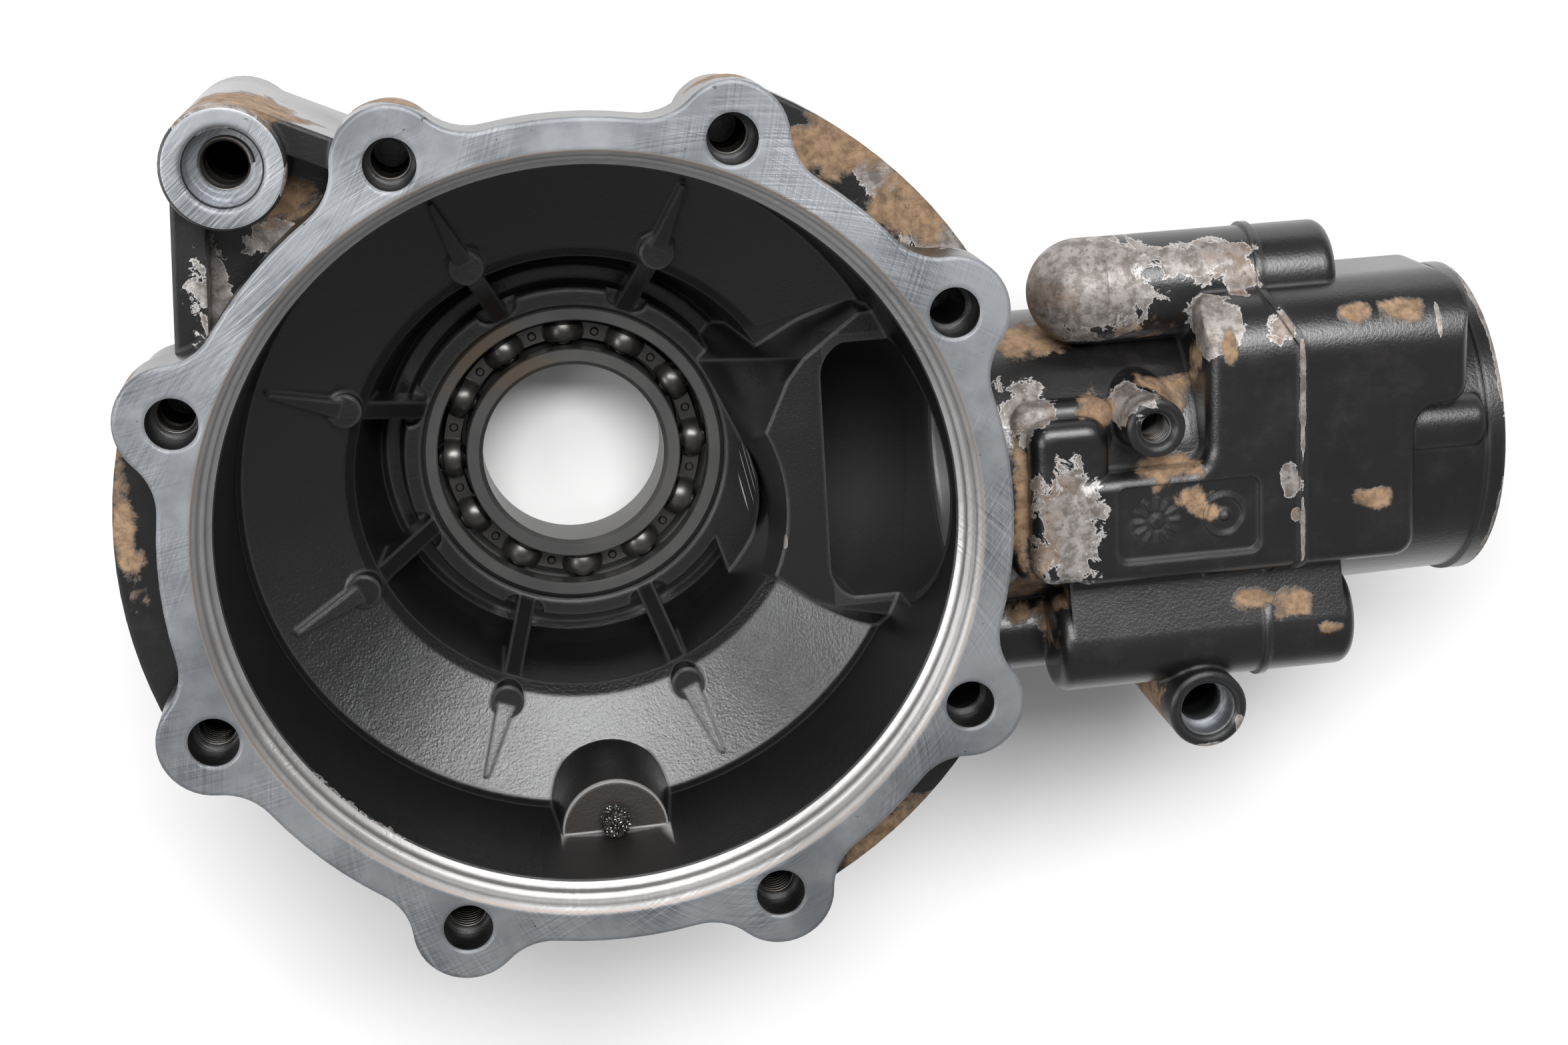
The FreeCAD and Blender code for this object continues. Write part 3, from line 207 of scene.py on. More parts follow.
# %% Start a material
def new_material(name):
    """A material with its tree, its shader and the position on the piece."""
    material = bpy.data.materials.new(name)
    material.use_nodes = True
    tree = material.node_tree
    shader = tree.nodes["Principled BSDF"]
    position = tree.nodes.new("ShaderNodeTexCoord").outputs["Object"]
    return material, tree, shader, position


def finish_surface(tree, shader, colour, roughness, metallic, height, deep, edge=None):
    """Feed a shader its maps. Heights are 0 to 1 and deep is their depth in metres."""
    feed(tree, shader.inputs["Base Color"], colour)
    feed(tree, shader.inputs["Roughness"], roughness)
    feed(tree, shader.inputs["Metallic"], metallic)
    bump = add_node(tree, "Bump")
    bump.inputs["Strength"].default_value = 1.0
    bump.inputs["Distance"].default_value = deep
    feed(tree, bump.inputs["Height"], height)
    if edge:
        feed(tree, bump.inputs["Normal"], edge)
    feed(tree, shader.inputs["Normal"], bump.outputs[0])


def worn_level(tree, position, places):
    """The deepest level of a point in any of the worn places (x, y, z, reach x, y, z in mm)."""
    best = None
    for x, y, z, rx, ry, rz in places:
        level = use_group(tree, place_group, Position=position, Centre=(x * MM, y * MM, z * MM),
                          Reach=(rx * MM, ry * MM, rz * MM))["Level"]
        best = level if best is None else sums(tree, "MAXIMUM", best, level)
    return best


# %% [markdown]
# Where the paint is gone and where mud stays
#
# Each entry is one place on the casting that a maker would point at: the middle and the reach
# of an ellipsoid, in millimetres. The noise decides the ragged outline, so a short list is
# enough.

# %% Worn and muddy places
CHIPPED = [
    # upper boss, from its round end to the bead
    (112, 45, 70, 25, 16, 20), (141, 50, 76, 13, 9, 7), (149, 45, 78, 6, 6, 5), (131, 47, 80, 7, 6, 5),
    # saddle: upper corner, bead and tail
    (140, 36, 85, 9, 9, 12), (155, 36, 88, 4.5, 8, 4), (159.3, 20, 89, 0.8, 24, 2), (156.8, -0.5, 88, 2.6, 5, 3),
    (158, -9, 88, 1.6, 2, 3), (191.5, 32, 86, 0.8, 5, 4), (159.3, -12, 89, 0.7, 9, 2),
    # vent boss, worn block and root
    (120, 21, 84, 8, 8, 10), (106, -7, 84, 9.5, 20, 9), (99, 20, 79, 8, 12, 10), (131.5, 3, 82, 3, 2, 3),
    # neck mount rim and barrel end
    (140, -67, 78.8, 6, 1.6, 1.5), (147.5, -62, 78.8, 1.6, 3, 1.5), (209, 25, 68, 1.2, 30, 30), (209, -20, 70, 1.2, 20, 30),
    # arm: outer face, rim and webs
    (-61, 69, 62, 9, 6, 16), (-77, 60, 70, 6, 16, 16), (-72, 98, 84, 16, 6, 9), (-56, 82, 88, 3, 5, 2),
    # disc behind the flange and the flange's outer wall
    (84, 60, 76, 12, 12, 8), (70, 74, 76, 9, 7, 8), (-68, -68, 87, 25, 25, 5.5), (-102, -44, 87, 12, 16, 5.5),
    (-42, -102, 87, 18, 10, 5.5), (-112, 30, 87, 10, 16, 5), (8, -101, 87, 26, 7, 5), (52, 91, 87, 10, 12, 5),
    # window edge and nose
    (58, 6, 49, 0.8, 5, 2), (58, -4, 49, 0.5, 9, 2), (46.4, -15.5, 49, 0.8, 2.2, 2), (71, -29, 49, 4, 1.0, 3),
]
MUDDY = [
    (126, 30, 79, 11, 10, 8), (132, 24, 79, 8, 14, 8), (129, 3, 83, 9, 6, 8), (133, -3.5, 86, 6, 4, 3),
    (138, -7, 86, 6, 3.5, 3), (114, 17, 78, 6, 6, 9), (112, -37, 62, 10, 11, 14), (100, -24, 68, 5, 20, 22),
    (172.5, 36, 86, 5.5, 4, 5), (183, 36, 86, 6, 4.5, 5), (143.5, 31, 88, 2.2, 6, 3), (153, -32, 74, 6, 4, 6),
    (162, -34, 75, 6, 5, 6), (171, -41, 76, 4, 2, 4), (177, -7, 88, 6, 3.5, 2), (131, -58, 58, 6, 9, 20),
    (60, 80, 76, 16, 9, 9), (76, 66, 76, 14, 11, 9), (66, -82, 76, 22, 12, 9), (-58, 99, 74, 24, 8, 20),
    (-58, 76, 66, 11, 7, 14), (-34, 97, 80, 12, 7, 12), (33, 99, 80, 12, 7, 12), (-97, 44, 80, 9, 10, 12),
    (106, 36, 62, 14, 12, 10), (-100, 10, 72, 4, 26, 9), (97, -4, 76, 3, 22, 12), (94, -38, 76, 7, 16, 12),
    (-82, -64, 84, 9, 9, 6), (-70, -80, 84, 9, 9, 6),
]
print("worn places", len(CHIPPED), "muddy places", len(MUDDY))

# %% [markdown]
# The casting's finish
#
# Everything is one surface with masks laid over each other, in the order in which the real one
# came about: black paint first, then the milled faces, then chips, and mud on top. Each layer
# has its own colour, gloss, metal and height.

# %% Sizes that the masks read
FLANGE_FACE = 93.0
ARM_MOUNT = (-68.9, 86.4)
NECK_MOUNT = (140.0, -57.5)
VENT_TAP = (125.2, 14.4)
NECK_AXIS = 47.0
DRAIN_BOSS = (0.5, -79.2)


def from_axis(tree, position, x, y):
    """Distance of a point from an upright axis, in metres."""
    flat = vectors(tree, "MULTIPLY", position, (1.0, 1.0, 0.0))
    return vectors(tree, "DISTANCE", flat, (x * MM, y * MM, 0.0))


def near_axis(tree, position, x, y, radius):
    """1 inside a radius, in mm, of an upright axis."""
    distance = from_axis(tree, position, x, y)
    return step(tree, distance, (radius + 0.05) * MM, (radius - 0.05) * MM)


# %% Build the casting's material
casting, tree, shader, position = new_material("casting_paint")
parts = add_node(tree, "SeparateXYZ", position)
x, y, z = parts.outputs
from_axle = from_axis(tree, position, 0.0, 0.0)

grain = use_group(tree, grain_group, Position=position, Size=0.7 * MM)
coarse = noise(tree, position, 45.0, 3.0)
inside = sums(tree, "MULTIPLY", step(tree, from_axle, 82.3 * MM, 81.8 * MM), step(tree, z, -10 * MM, -6 * MM))
outside = sums(tree, "SUBTRACT", 1.0, inside)

paint = blend(tree, coarse, (0.004, 0.004, 0.0045), (0.009, 0.009, 0.0095))
film = sums(tree, "MULTIPLY", outside, step(tree, noise(tree, position, 130.0, 5.0, 0.65), 0.45, 0.8))
paint = blend(tree, sums(tree, "MULTIPLY", film, 0.12), paint, (0.10, 0.085, 0.07))
gloss = blend(tree, inside, blend(tree, coarse, 0.18, 0.36), blend(tree, coarse, 0.20, 0.29))

# %% Milled faces and bores
face = step(tree, z, (FLANGE_FACE - 0.12) * MM, (FLANGE_FACE - 0.06) * MM)
register = sums(tree, "MULTIPLY", step(tree, from_axle, 81.2 * MM, 81.4 * MM),
                step(tree, from_axle, 85.6 * MM, 85.3 * MM))
register = sums(tree, "MULTIPLY", register, step(tree, z, 84.4 * MM, 84.6 * MM))
arm_ring = sums(tree, "MULTIPLY", near_axis(tree, position, *ARM_MOUNT, 12.3), step(tree, z, 88.3 * MM, 88.6 * MM))
arm_hole = near_axis(tree, position, *ARM_MOUNT, 8.1)
neck_hole = sums(tree, "MULTIPLY", near_axis(tree, position, *NECK_MOUNT, 6.5), step(tree, z, 60 * MM, 66 * MM))
vent_hole = near_axis(tree, position, *VENT_TAP, 3.5)
around_neck = vectors(tree, "DISTANCE", vectors(tree, "MULTIPLY", position, (0.0, 1.0, 1.0)), (0.0, 0.0, NECK_AXIS * MM))
pinion = sums(tree, "MULTIPLY", step(tree, around_neck, 30.4 * MM, 30.2 * MM), step(tree, x, 87.8 * MM, 88.1 * MM))
milled = face
for mask in (register, arm_ring, arm_hole, neck_hole, vent_hole, pinion):
    milled = sums(tree, "MAXIMUM", milled, mask)

arcs_wide = use_group(tree, mill_group, Position=position, Centre=(0.03, -0.06, 0.093), Pitch=0.9 * MM)["Height"]
arcs_back = use_group(tree, mill_group, Position=position, Centre=(-0.11, 0.12, 0.093), Pitch=0.6 * MM)["Height"]
arcs_bore = use_group(tree, mill_group, Position=position, Centre=(0.0, 0.0, 0.093), Pitch=0.5 * MM)["Height"]
swirl = sums(tree, "ADD", sums(tree, "ADD", arcs_wide, arcs_back), sums(tree, "MULTIPLY", arcs_bore, 0.6))
stain = noise(tree, position, 38.0, 5.0, 0.6)
bare = blend(tree, step(tree, stain, 0.36, 0.64), (0.17, 0.182, 0.20), (0.37, 0.385, 0.405))
bare = blend(tree, sums(tree, "MULTIPLY_ADD", swirl, 1.9, 0.28, clamp=True), bare, (0.50, 0.51, 0.53))
pits = step(tree, noise(tree, position, 420.0, 4.0, 0.7), 0.66, 0.72)
bare = blend(tree, sums(tree, "MULTIPLY", pits, 0.7), bare, (0.05, 0.045, 0.04))
bright = sums(tree, "MAXIMUM", register, pinion)
bare = blend(tree, sums(tree, "MULTIPLY", bright, 0.5), bare, (0.66, 0.63, 0.60))
rust_line = sums(tree, "MULTIPLY", step(tree, from_axle, 84.6 * MM, 85.0 * MM), step(tree, from_axle, 85.5 * MM, 85.2 * MM))
bare = blend(tree, sums(tree, "MULTIPLY", rust_line, sums(tree, "MULTIPLY", stain, 0.9)), bare, (0.25, 0.15, 0.09))

# %% Painted shade down the holes, and the oiled half-moon of the drain boss with a painted highlight on its rim
hole_shade = None
# Painted shade: each hole's wall is painted near black below its mouth, as the shade that falls deeper in.
for spot, radius, top, deep in ((ARM_MOUNT, 8.1, 80.0, 9.0), (NECK_MOUNT, 6.5, 73.0, 7.0), (VENT_TAP, 3.5, 88.5, 5.0)):
    below = sums(tree, "MULTIPLY", near_axis(tree, position, *spot, radius), step(tree, z, top * MM, (top - deep) * MM))
    hole_shade = below if hole_shade is None else sums(tree, "MAXIMUM", hole_shade, below)
hole_shade = sums(tree, "MULTIPLY", hole_shade, 0.85)
boss_middle = from_axis(tree, position, DRAIN_BOSS[0], DRAIN_BOSS[1])
on_boss = sums(tree, "MULTIPLY", step(tree, boss_middle, 13.2 * MM, 12.8 * MM), step(tree, z, 59.6 * MM, 60.4 * MM))
upper_half = step(tree, y, -79.4 * MM, -79.0 * MM)
moon = sums(tree, "MULTIPLY", on_boss, upper_half)
# The rim of the half-moon, which carries a painted highlight.
moon_rim = sums(tree, "MAXIMUM", step(tree, boss_middle, 12.0 * MM, 12.3 * MM), step(tree, y, -78.6 * MM, -78.9 * MM))
moon_rim_highlight = sums(tree, "MULTIPLY", moon, moon_rim)
oiled = sums(tree, "MULTIPLY", step(tree, boss_middle, 20 * MM, 11 * MM), step(tree, z, 50 * MM, 58 * MM))

# %% Chips and mud
flakes = noise(tree, position, 170.0, 7.0, 0.68, 0.5)
chip_level = sums(tree, "MULTIPLY_ADD", sums(tree, "SUBTRACT", flakes, 0.5), 1.7,
                  worn_level(tree, position, CHIPPED))
chip = step(tree, chip_level, 0.165, 0.185)
rim = sums(tree, "MULTIPLY", chip, step(tree, chip_level, 0.27, 0.19))
cast_spots = noise(tree, position, 300.0, 6.0, 0.7)
cast_cloud = noise(tree, position, 55.0, 4.0, 0.6)
cast_bare = blend(tree, step(tree, cast_spots, 0.38, 0.62), (0.13, 0.112, 0.097), (0.31, 0.285, 0.27))
cast_bare = blend(tree, sums(tree, "MULTIPLY", step(tree, cast_cloud, 0.52, 0.66), 0.5), cast_bare, (0.20, 0.12, 0.07))
rust_dots = step(tree, noise(tree, position, 620.0, 3.0, 0.6), 0.63, 0.70)
cast_bare = blend(tree, sums(tree, "MULTIPLY", rust_dots, 0.6), cast_bare, (0.06, 0.035, 0.02))
cast_bare = blend(tree, sums(tree, "MULTIPLY", rim, 0.7), cast_bare, (0.60, 0.59, 0.58))

smears = noise(tree, position, 120.0, 7.0, 0.62, 0.4)
mud_level = sums(tree, "MULTIPLY_ADD", sums(tree, "SUBTRACT", smears, 0.5), 2.1,
                 worn_level(tree, position, MUDDY))
mud = sums(tree, "MULTIPLY", step(tree, mud_level, 0.12, 0.48), outside)
mud_grit = noise(tree, position, 330.0, 6.0, 0.7)
mud_colour = blend(tree, step(tree, mud_grit, 0.3, 0.7), (0.13, 0.078, 0.042), (0.33, 0.215, 0.125))

# %% Lay the finish together
milled_only = sums(tree, "MULTIPLY", milled, 1.0)
painted_chip = sums(tree, "MULTIPLY", chip, sums(tree, "SUBTRACT", 1.0, milled))
painted_mud = sums(tree, "MULTIPLY", mud, sums(tree, "SUBTRACT", 1.0, milled))
oil = sums(tree, "MULTIPLY", oiled, sums(tree, "MULTIPLY_ADD", coarse, 0.8, 0.2, clamp=True))
paint = blend(tree, sums(tree, "MULTIPLY", oil, sums(tree, "MULTIPLY_ADD", moon, 0.7, 0.3)), paint, (0.020, 0.013, 0.008))
patch = step(tree, sums(tree, "ADD", worn_level(tree, position, [(-56, 50, 62, 14, 13, 16)]), sums(tree, "SUBTRACT", coarse, 0.5)),
             0.1, 0.6)
paint = blend(tree, sums(tree, "MULTIPLY", patch, 0.4), paint, (0.10, 0.080, 0.062))
along = vectors(tree, "DOT_PRODUCT", position, (0.98, 0.2, 0.0))
lines = step(tree, noise(tree, along, 2600.0, 2.0, 0.5, dimensions="1D"), 0.58, 0.66)
scraped = step(tree, worn_level(tree, position, [(42.7, -9, 9.2, 2.4, 10, 2.5)]), 0.0, 0.35)
paint = blend(tree, sums(tree, "MULTIPLY", lines, scraped), paint, (0.45, 0.45, 0.46))
# Painted highlight: a pale line along the rim of the drain boss's half-moon.
paint = blend(tree, sums(tree, "MULTIPLY", moon_rim_highlight, 0.8), paint, (0.40, 0.39, 0.38))
gloss = blend(tree, oiled, gloss, 0.46)
# Painted shade: the neck's inside behind the window is painted darker than the paint around it, and made rougher.
throat_shade = sums(tree, "MULTIPLY", step(tree, around_neck, 33.5 * MM, 32.5 * MM), step(tree, x, 57.2 * MM, 58.2 * MM))
throat_shade = sums(tree, "MULTIPLY", throat_shade, sums(tree, "SUBTRACT", 1.0, pinion))
gloss = blend(tree, throat_shade, gloss, 0.75)
paint = blend(tree, throat_shade, paint, (0.003, 0.003, 0.003))
# Edges are painted lighter and glossier: partly thin, worn paint, partly a painted highlight along every rim, twice as
# strong inside the bowl.
edge = add_node(tree, "Bevel", 1.4 * MM, samples=3).outputs[0]
true_normal = tree.nodes.new("ShaderNodeNewGeometry").outputs["Normal"]
turned_away = sums(tree, "SUBTRACT", 1.0, vectors(tree, "DOT_PRODUCT", edge, true_normal))
edge_wear_and_highlight = sums(tree, "MULTIPLY", step(tree, turned_away, 0.015, 0.16), sums(tree, "MULTIPLY_ADD", inside, 0.35, 0.35))
paint = blend(tree, edge_wear_and_highlight, paint, (0.13, 0.13, 0.135))
gloss = blend(tree, edge_wear_and_highlight, gloss, 0.16)
colour = blend(tree, painted_chip, paint, cast_bare)
colour = blend(tree, painted_mud, colour, mud_colour)
colour = blend(tree, milled_only, colour, bare)
# Painted shade down the holes.
colour = blend(tree, hole_shade, colour, (0.012, 0.011, 0.010))
roughness = blend(tree, painted_chip, gloss, blend(tree, cast_spots, 0.62, 0.42))
roughness = blend(tree, painted_mud, roughness, 0.92)
roughness = blend(tree, milled_only, roughness, blend(tree, stain, 0.30, 0.52))
metallic = sums(tree, "MULTIPLY", sums(tree, "MAXIMUM", sums(tree, "MULTIPLY", painted_chip, 0.45), milled_only),
                sums(tree, "SUBTRACT", 1.0, painted_mud))
metallic = sums(tree, "MULTIPLY", metallic, 0.85)
grain_height = sums(tree, "MULTIPLY", grain["Height"], sums(tree, "MULTIPLY_ADD", inside, 0.9, 0.8))
relief = blend(tree, milled_only, grain_height, sums(tree, "MULTIPLY", swirl, 0.8))
relief = sums(tree, "MULTIPLY_ADD", painted_chip, -1.2, relief)
relief = sums(tree, "MULTIPLY_ADD", painted_mud, 2.2, relief)
finish_surface(tree, shader, colour, roughness, metallic, relief, 0.07 * MM, edge)
shader.inputs["Specular IOR Level"].default_value = 0.75
print("casting material nodes", len(tree.nodes))


# %% [markdown]
# Steel, rubber and the magnet
#
# The bearing has been run: its rings are dark with oil film and stained brown on one side. The
# cage is pressed sheet, darker than the rings. The remaining pieces are small, but each still
# gets grain and a change of gloss, because a single flat value looks like plastic.

# %% Plain steel finishes
def steel(name, dark, light, gloss, metal, grain_size, deep):
    material, tree, shader, position = new_material(name)
    grain = use_group(tree, grain_group, Position=position, Size=grain_size * MM)
    cloud = noise(tree, position, 90.0, 4.0)
    colour = blend(tree, cloud, dark, light)
    roughness = blend(tree, grain["Gloss"], gloss, min(gloss + 0.3, 1.0))
    finish_surface(tree, shader, colour, roughness, metal, grain["Height"], deep * MM)
    return material


ring_steel, tree, shader, position = new_material("bearing_ring_steel")
cloud = noise(tree, position, 60.0, 4.0)
turning = use_group(tree, mill_group, Position=vectors(tree, "MULTIPLY", position, (1.0, 1.0, 0.0)),
                    Centre=(0.0, 0.0, 0.0), Pitch=0.25 * MM)["Height"]
stain_level = worn_level(tree, position, [(-22, 28, 8, 20, 16, 6), (-12, 22, 8, 14, 10, 6)])
stain = step(tree, sums(tree, "ADD", stain_level, sums(tree, "SUBTRACT", cloud, 0.5)), 0.1, 0.9)
colour = blend(tree, cloud, (0.10, 0.10, 0.10), (0.17, 0.165, 0.16))
colour = blend(tree, sums(tree, "MULTIPLY", stain, 0.6), colour, (0.17, 0.12, 0.07))
ring_edge = add_node(tree, "Bevel", 0.3 * MM, samples=2).outputs[0]
finish_surface(tree, shader, colour, blend(tree, cloud, 0.3, 0.48), 0.8, turning, 0.01 * MM, ring_edge)

FINISHES = {
    "housing": casting,
    "bearing_outer_ring": ring_steel,
    "bearing_inner_ring": ring_steel,
    "cage_front": steel("cage_sheet", (0.06, 0.058, 0.055), (0.13, 0.125, 0.12), 0.25, 0.85, 0.5, 0.015),
    "oil_seal": steel("seal_rubber", (0.012, 0.012, 0.012), (0.03, 0.03, 0.03), 0.6, 0.0, 0.6, 0.03),
    "seal_garter_spring": steel("spring_wire", (0.3, 0.3, 0.3), (0.45, 0.45, 0.45), 0.3, 1.0, 0.3, 0.01),
    "drain_plug": steel("plug_steel", (0.28, 0.26, 0.2), (0.45, 0.44, 0.4), 0.35, 0.9, 0.5, 0.02),
    "drain_plug_magnet": steel("magnet_skin", (0.03, 0.028, 0.025), (0.12, 0.11, 0.1), 0.45, 0.7, 0.3, 0.05),
    "drain_washer": steel("washer_alloy", (0.45, 0.45, 0.45), (0.6, 0.6, 0.6), 0.4, 1.0, 0.5, 0.02),
}
FINISHES["cage_rear"] = FINISHES["cage_front"]
FINISHES["cage_rivets"] = FINISHES["cage_front"]
ball_steel = steel("ball_steel", (0.4, 0.4, 0.4), (0.55, 0.55, 0.55), 0.12, 1.0, 0.4, 0.002)

# %% Put each finish on its node
for name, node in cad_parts.items():
    material = FINISHES.get(name, ball_steel)
    node.data.materials.clear()
    node.data.materials.append(material)
print("materials", sorted({n.data.materials[0].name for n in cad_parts.values()}))

# %% [markdown]
# The round end of the upper boss
#
# On the real casting this boss ends in a smooth half ball, where a core pin was drawn out of the
# mould. A turned shape is its profile carried round an axis, so a short loop over angles makes
# it with even faces, which a sphere with a cut edge doesn't have. It stands a few hundredths of
# a millimetre proud of the boss, and its last ring dips under the surface, so no step shows.

# %% Turn a profile
def turned(name, profile, axis_y, axis_z, around):
    """A closed mesh from (x, radius) pairs, in mm, carried round an axis along x."""
    work = bmesh.new()
    rings = []
    for x, radius in profile:
        count = around if radius else 1
        angles = [math.tau * k / count for k in range(count)]
        rings.append([work.verts.new((x * MM, (axis_y + radius * math.cos(a)) * MM,
                                      (axis_z + radius * math.sin(a)) * MM)) for a in angles])
    for low, high in zip(rings, rings[1:]):
        for k in range(around):
            corners = [low[k % len(low)], low[(k + 1) % around % len(low)],
                       high[(k + 1) % around % len(high)], high[k % len(high)]]
            work.faces.new(list(dict.fromkeys(corners)))
    bmesh.ops.recalc_face_normals(work, faces=work.faces[:])
    mesh = bpy.data.meshes.new(name)
    work.to_mesh(mesh)
    work.free()
    mesh.polygons.foreach_set("use_smooth", [True] * len(mesh.polygons))
    return mesh


# %% Make the round end
BALL_MIDDLE, BALL_RADIUS, BALL_STEPS = 115.0, 12.04, 24
profile = []
for k in range(BALL_STEPS + 1):
    lean = math.pi / 2 * k / BALL_STEPS
    profile.append((BALL_MIDDLE - BALL_RADIUS * math.cos(lean), BALL_RADIUS * math.sin(lean)))
profile += [(BALL_MIDDLE + 3.6, BALL_RADIUS), (BALL_MIDDLE + 4.4, BALL_RADIUS - 0.15), (BALL_MIDDLE + 4.5, 0.0)]
round_end = bpy.data.objects.new("boss_round_end", turned("boss_round_end", profile, 41.5, 65.0, 96))
scene.collection.objects.link(round_end)
round_end.data.materials.append(casting)
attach(round_end, "casing")
print("round end", len(round_end.data.polygons), "faces")

# %% Close the arm's hole with a dark stop, painted as its shade
# Painted shade: a near-black plug deep in the arm's hole hides the floor and stands for the dark depth of the hole.
hole_stop_material, tree, shader, position = new_material("dark_hole_stop")
grit = noise(tree, position, 500.0, 6.0, 0.7)
finish_surface(tree, shader, blend(tree, grit, (0.02, 0.014, 0.009), (0.09, 0.06, 0.04)), 0.95, 0.0, grit, 0.4 * MM)
plug_profile = [(1.2, 0.0), (0.9, 2.6), (-0.3, 4.6), (0.2, 5.35), (-6.0, 5.3), (-6.5, 0.0)]
plug_mesh = turned("dark_hole_stop", plug_profile, 0.0, 0.0, 48)
plug_mesh.transform(Matrix.Translation((ARM_MOUNT[0] * MM, ARM_MOUNT[1] * MM, 0.045)) @ Matrix.Rotation(-math.pi / 2, 4, "Y"))
plug_mesh.materials.append(hole_stop_material)
dark_hole_stop = bpy.data.objects.new("dark_hole_stop", plug_mesh)
scene.collection.objects.link(dark_hole_stop)
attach(dark_hole_stop, "casing")

# %% [markdown]
# Threads and metal fuzz
#
# Screw threads wind down the mounts and the bolt holes, and the magnet on the drain plug holds a
# clump of steel crumbs. Both repeat one small shape, which is work for Geometry Nodes: the first
# tree sweeps a small section along a helix and sets it in every hole it is given, and the second
# scatters crumbs over a dome.

# %% Helpers for geometry trees
def new_tree(name, inputs):
    """A geometry tree with named inputs, its two end nodes and a function that adds a node."""
    tree = bpy.data.node_groups.new(name, "GeometryNodeTree")
    tree.interface.new_socket("Geometry", in_out="INPUT", socket_type="NodeSocketGeometry")
    for label, kind in inputs:
        tree.interface.new_socket(label, in_out="INPUT", socket_type="NodeSocket" + kind)
    tree.interface.new_socket("Geometry", in_out="OUTPUT", socket_type="NodeSocketGeometry")

    def add(kind, values, **settings):
        node = tree.nodes.new(kind)
        for label, value in settings.items():
            setattr(node, label, value)
        for label, value in values.items():
            feed(tree, node.inputs[label], value)
        return node.outputs[0]

    return tree, tree.nodes.new("NodeGroupInput").outputs, tree.nodes.new("NodeGroupOutput").inputs, add


def grow(name, tree, spots, values):
    """Run a tree on points, in mm, and give back its result as a plain mesh."""
    points = bpy.data.meshes.new(name)
    points.from_pydata([tuple(v * MM for v in spot) for spot in spots], [], [])
    carrier = bpy.data.objects.new(name, points)
    scene.collection.objects.link(carrier)
    modifier = carrier.modifiers.new(name, "NODES")
    modifier.node_group = tree
    sockets = {item.name: item.identifier for item in tree.interface.items_tree if item.in_out == "INPUT"}
    for label, value in values.items():
        modifier[sockets[label]] = value
    graph = bpy.context.evaluated_depsgraph_get()
    mesh = bpy.data.meshes.new_from_object(carrier.evaluated_get(graph), depsgraph=graph)
    carrier.modifiers.remove(modifier)
    bpy.data.objects.remove(carrier)
    return mesh


# %% Tree: threads in holes
thread_tree, given, result, add = new_tree("thread_in_hole", [
    ("Radius", "Float"), ("Pitch", "Float"), ("Turns", "Float"), ("Ridge", "Float"), ("Metal", "Material")])
rise = sums(thread_tree, "MULTIPLY", given["Pitch"], given["Turns"])
helix = add("GeometryNodeCurveSpiral", {"Resolution": 28, "Rotations": given["Turns"], "Start Radius": given["Radius"],
                                        "End Radius": given["Radius"], "Height": rise})
section = add("GeometryNodeCurvePrimitiveCircle", {"Resolution": 4, "Radius": given["Ridge"]})
ridge = add("GeometryNodeCurveToMesh", {"Curve": helix, "Profile Curve": section, "Fill Caps": True})
placed = add("GeometryNodeInstanceOnPoints", {"Points": given["Geometry"], "Instance": ridge})
solid = add("GeometryNodeRealizeInstances", {"Geometry": placed})
feed(thread_tree, result["Geometry"], add("GeometryNodeSetMaterial", {"Geometry": solid, "Material": given["Metal"]}))

# %% Cut the threads
thread_metal = steel("thread_metal", (0.03, 0.028, 0.026), (0.16, 0.15, 0.14), 0.3, 0.8, 0.4, 0.02)
BOLT_CIRCLE = 92.1
bolt_spots = [(BOLT_CIRCLE * math.cos(math.radians(22.5 + 45 * k)),
               BOLT_CIRCLE * math.sin(math.radians(22.5 + 45 * k)), 66.0) for k in range(8)]
THREADS = (
    ("bolt", bolt_spots, 4.3, 1.25, 14.0, 0.45),
    ("arm", [(*ARM_MOUNT, 56.0)], 5.5, 1.75, 15.0, 0.7),
    ("vent", [(*VENT_TAP, 78.0)], 3.45, 1.0, 11.0, 0.35),
)
joined = bmesh.new()
for label, spots, radius, pitch, turns, ridge_size in THREADS:
    part = grow(label + "_thread", thread_tree, spots, {
        "Radius": radius * MM, "Pitch": pitch * MM, "Turns": turns, "Ridge": ridge_size * MM, "Metal": thread_metal})
    print(label, "thread", len(part.polygons), "faces")
    joined.from_mesh(part)
thread_mesh = bpy.data.meshes.new("threads")
bmesh.ops.recalc_face_normals(joined, faces=joined.faces[:])
joined.to_mesh(thread_mesh)
joined.free()
thread_mesh.materials.append(thread_metal)
threads = bpy.data.objects.new("threads", thread_mesh)
scene.collection.objects.link(threads)
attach(threads, "casing")

# %% Tree: crumbs on a dome
fuzz_tree, given, result, add = new_tree("metal_fuzz", [
    ("Dome", "Float"), ("Crumb", "Float"), ("Amount", "Float"), ("Seed", "Int"), ("Metal", "Material")])
dome = add("GeometryNodeMeshIcoSphere", {"Radius": given["Dome"], "Subdivisions": 3})
dome = add("GeometryNodeTransform", {"Geometry": dome, "Scale": (1.0, 1.15, 0.75)})
placed = add("GeometryNodeInstanceOnPoints", {"Points": given["Geometry"], "Instance": dome})
dome = add("GeometryNodeRealizeInstances", {"Geometry": placed})
spots = add("GeometryNodeDistributePointsOnFaces", {"Mesh": dome, "Density": given["Amount"], "Seed": given["Seed"]})
crumb = add("GeometryNodeMeshIcoSphere", {"Radius": given["Crumb"], "Subdivisions": 1})
crumb = add("GeometryNodeTransform", {"Geometry": crumb, "Scale": (1.0, 0.55, 0.35)})
turn_any = fuzz_tree.nodes.new("FunctionNodeRandomValue")
turn_any.data_type = "FLOAT_VECTOR"
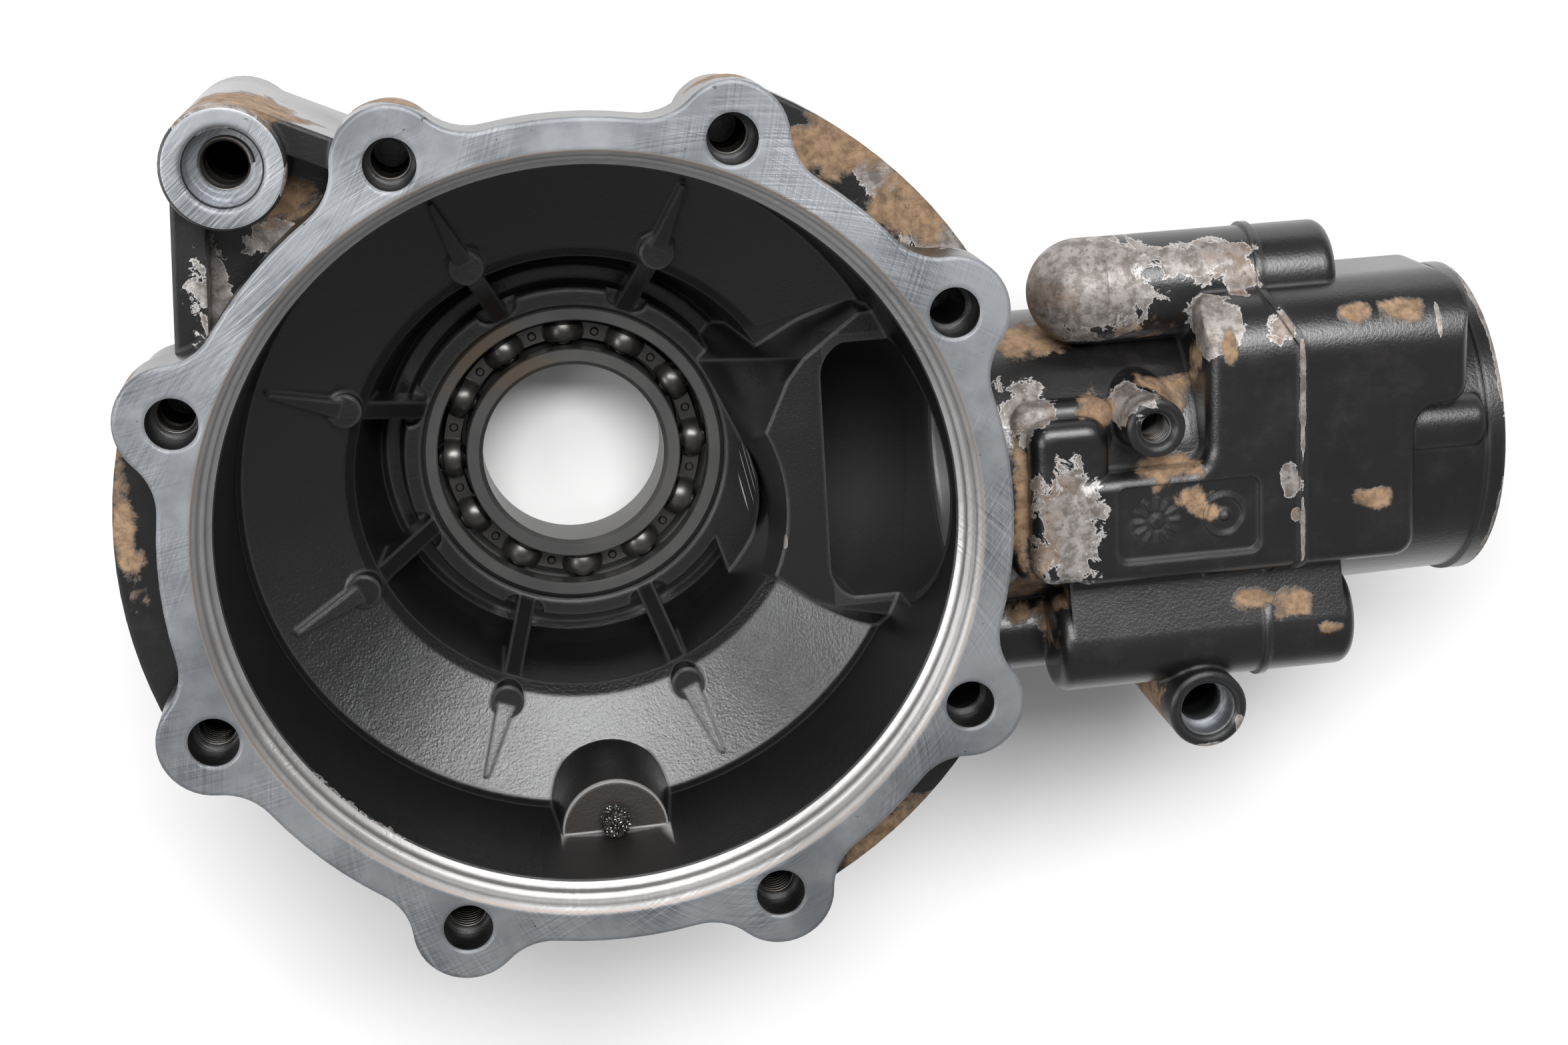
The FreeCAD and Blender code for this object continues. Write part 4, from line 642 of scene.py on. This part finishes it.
turn_any.inputs["Max"].default_value = (6.28, 6.28, 6.28)
size_any = fuzz_tree.nodes.new("FunctionNodeRandomValue")
size_any.inputs[2].default_value = 0.5
size_any.inputs[3].default_value = 1.3
placed = add("GeometryNodeInstanceOnPoints", {"Points": spots, "Instance": crumb, "Rotation": turn_any.outputs[0],
                                              "Scale": size_any.outputs[1]})
solid = add("GeometryNodeRealizeInstances", {"Geometry": placed})
feed(fuzz_tree, result["Geometry"], add("GeometryNodeSetMaterial", {"Geometry": solid, "Material": given["Metal"]}))

# %% Load the magnet
crumb_steel = steel("crumb_steel", (0.02, 0.02, 0.02), (0.20, 0.19, 0.18), 0.12, 0.9, 0.5, 0.02)
fuzz_mesh = grow("metal_fuzz", fuzz_tree, [(0.5, -76.2, 62.6)], {
    "Dome": 3.3 * MM, "Crumb": 0.62 * MM, "Amount": 4.2e6, "Seed": 7, "Metal": crumb_steel})
fuzz = bpy.data.objects.new("metal_fuzz", fuzz_mesh)
scene.collection.objects.link(fuzz)
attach(fuzz, "casing")
print("fuzz", len(fuzz_mesh.polygons), "faces")

# %% [markdown]
# Floor and light
#
# The housing lies on a white sheet. One large soft lamp stands above and beyond the top of the
# picture, where its reflection lands on the lower shelf of the bowl. A second, weaker one comes
# from the left and the sky is an even grey, so that black paint keeps its depth.

# %% Floor, lamps and sky
floor_mesh = bpy.data.meshes.new("white_sheet")
side = 3.0
level = cad_low.z
floor_mesh.from_pydata([(-side, -side, level), (side, -side, level), (side, side, level), (-side, side, level)],
                       [], [(0, 1, 2, 3)])
floor = bpy.data.objects.new("white_sheet", floor_mesh)
scene.collection.objects.link(floor)
sheet, tree, shader, position = new_material("white_sheet")
mottle = noise(tree, position, 6.0, 3.0)
feed(tree, shader.inputs["Base Color"], blend(tree, mottle, (0.90, 0.89, 0.89), (0.96, 0.955, 0.95)))
shader.inputs["Roughness"].default_value = 0.6
floor_mesh.materials.append(sheet)


def lamp(name, place, aim, width, length, power):
    data = bpy.data.lights.new(name, "AREA")
    data.shape = "RECTANGLE"
    data.size = width
    data.size_y = length
    data.energy = power
    item = bpy.data.objects.new(name, data)
    item.location = place
    item.rotation_euler = (Vector(aim) - Vector(place)).to_track_quat("-Z", "Y").to_euler()
    scene.collection.objects.link(item)


lamp("main_lamp", (0.10, 0.75, 1.20), (0.02, 0.0, 0.04), 1.1, 0.55, 25.0)
lamp("side_lamp", (-0.9, 0.1, 0.9), (0.0, 0.0, 0.04), 0.5, 0.5, 8.0)
sky = bpy.data.worlds.new("studio")
sky.use_nodes = True
sky.node_tree.nodes["Background"].inputs["Color"].default_value = (0.97, 0.98, 1.0, 1.0)
sky.node_tree.nodes["Background"].inputs["Strength"].default_value = 0.27
scene.world = sky
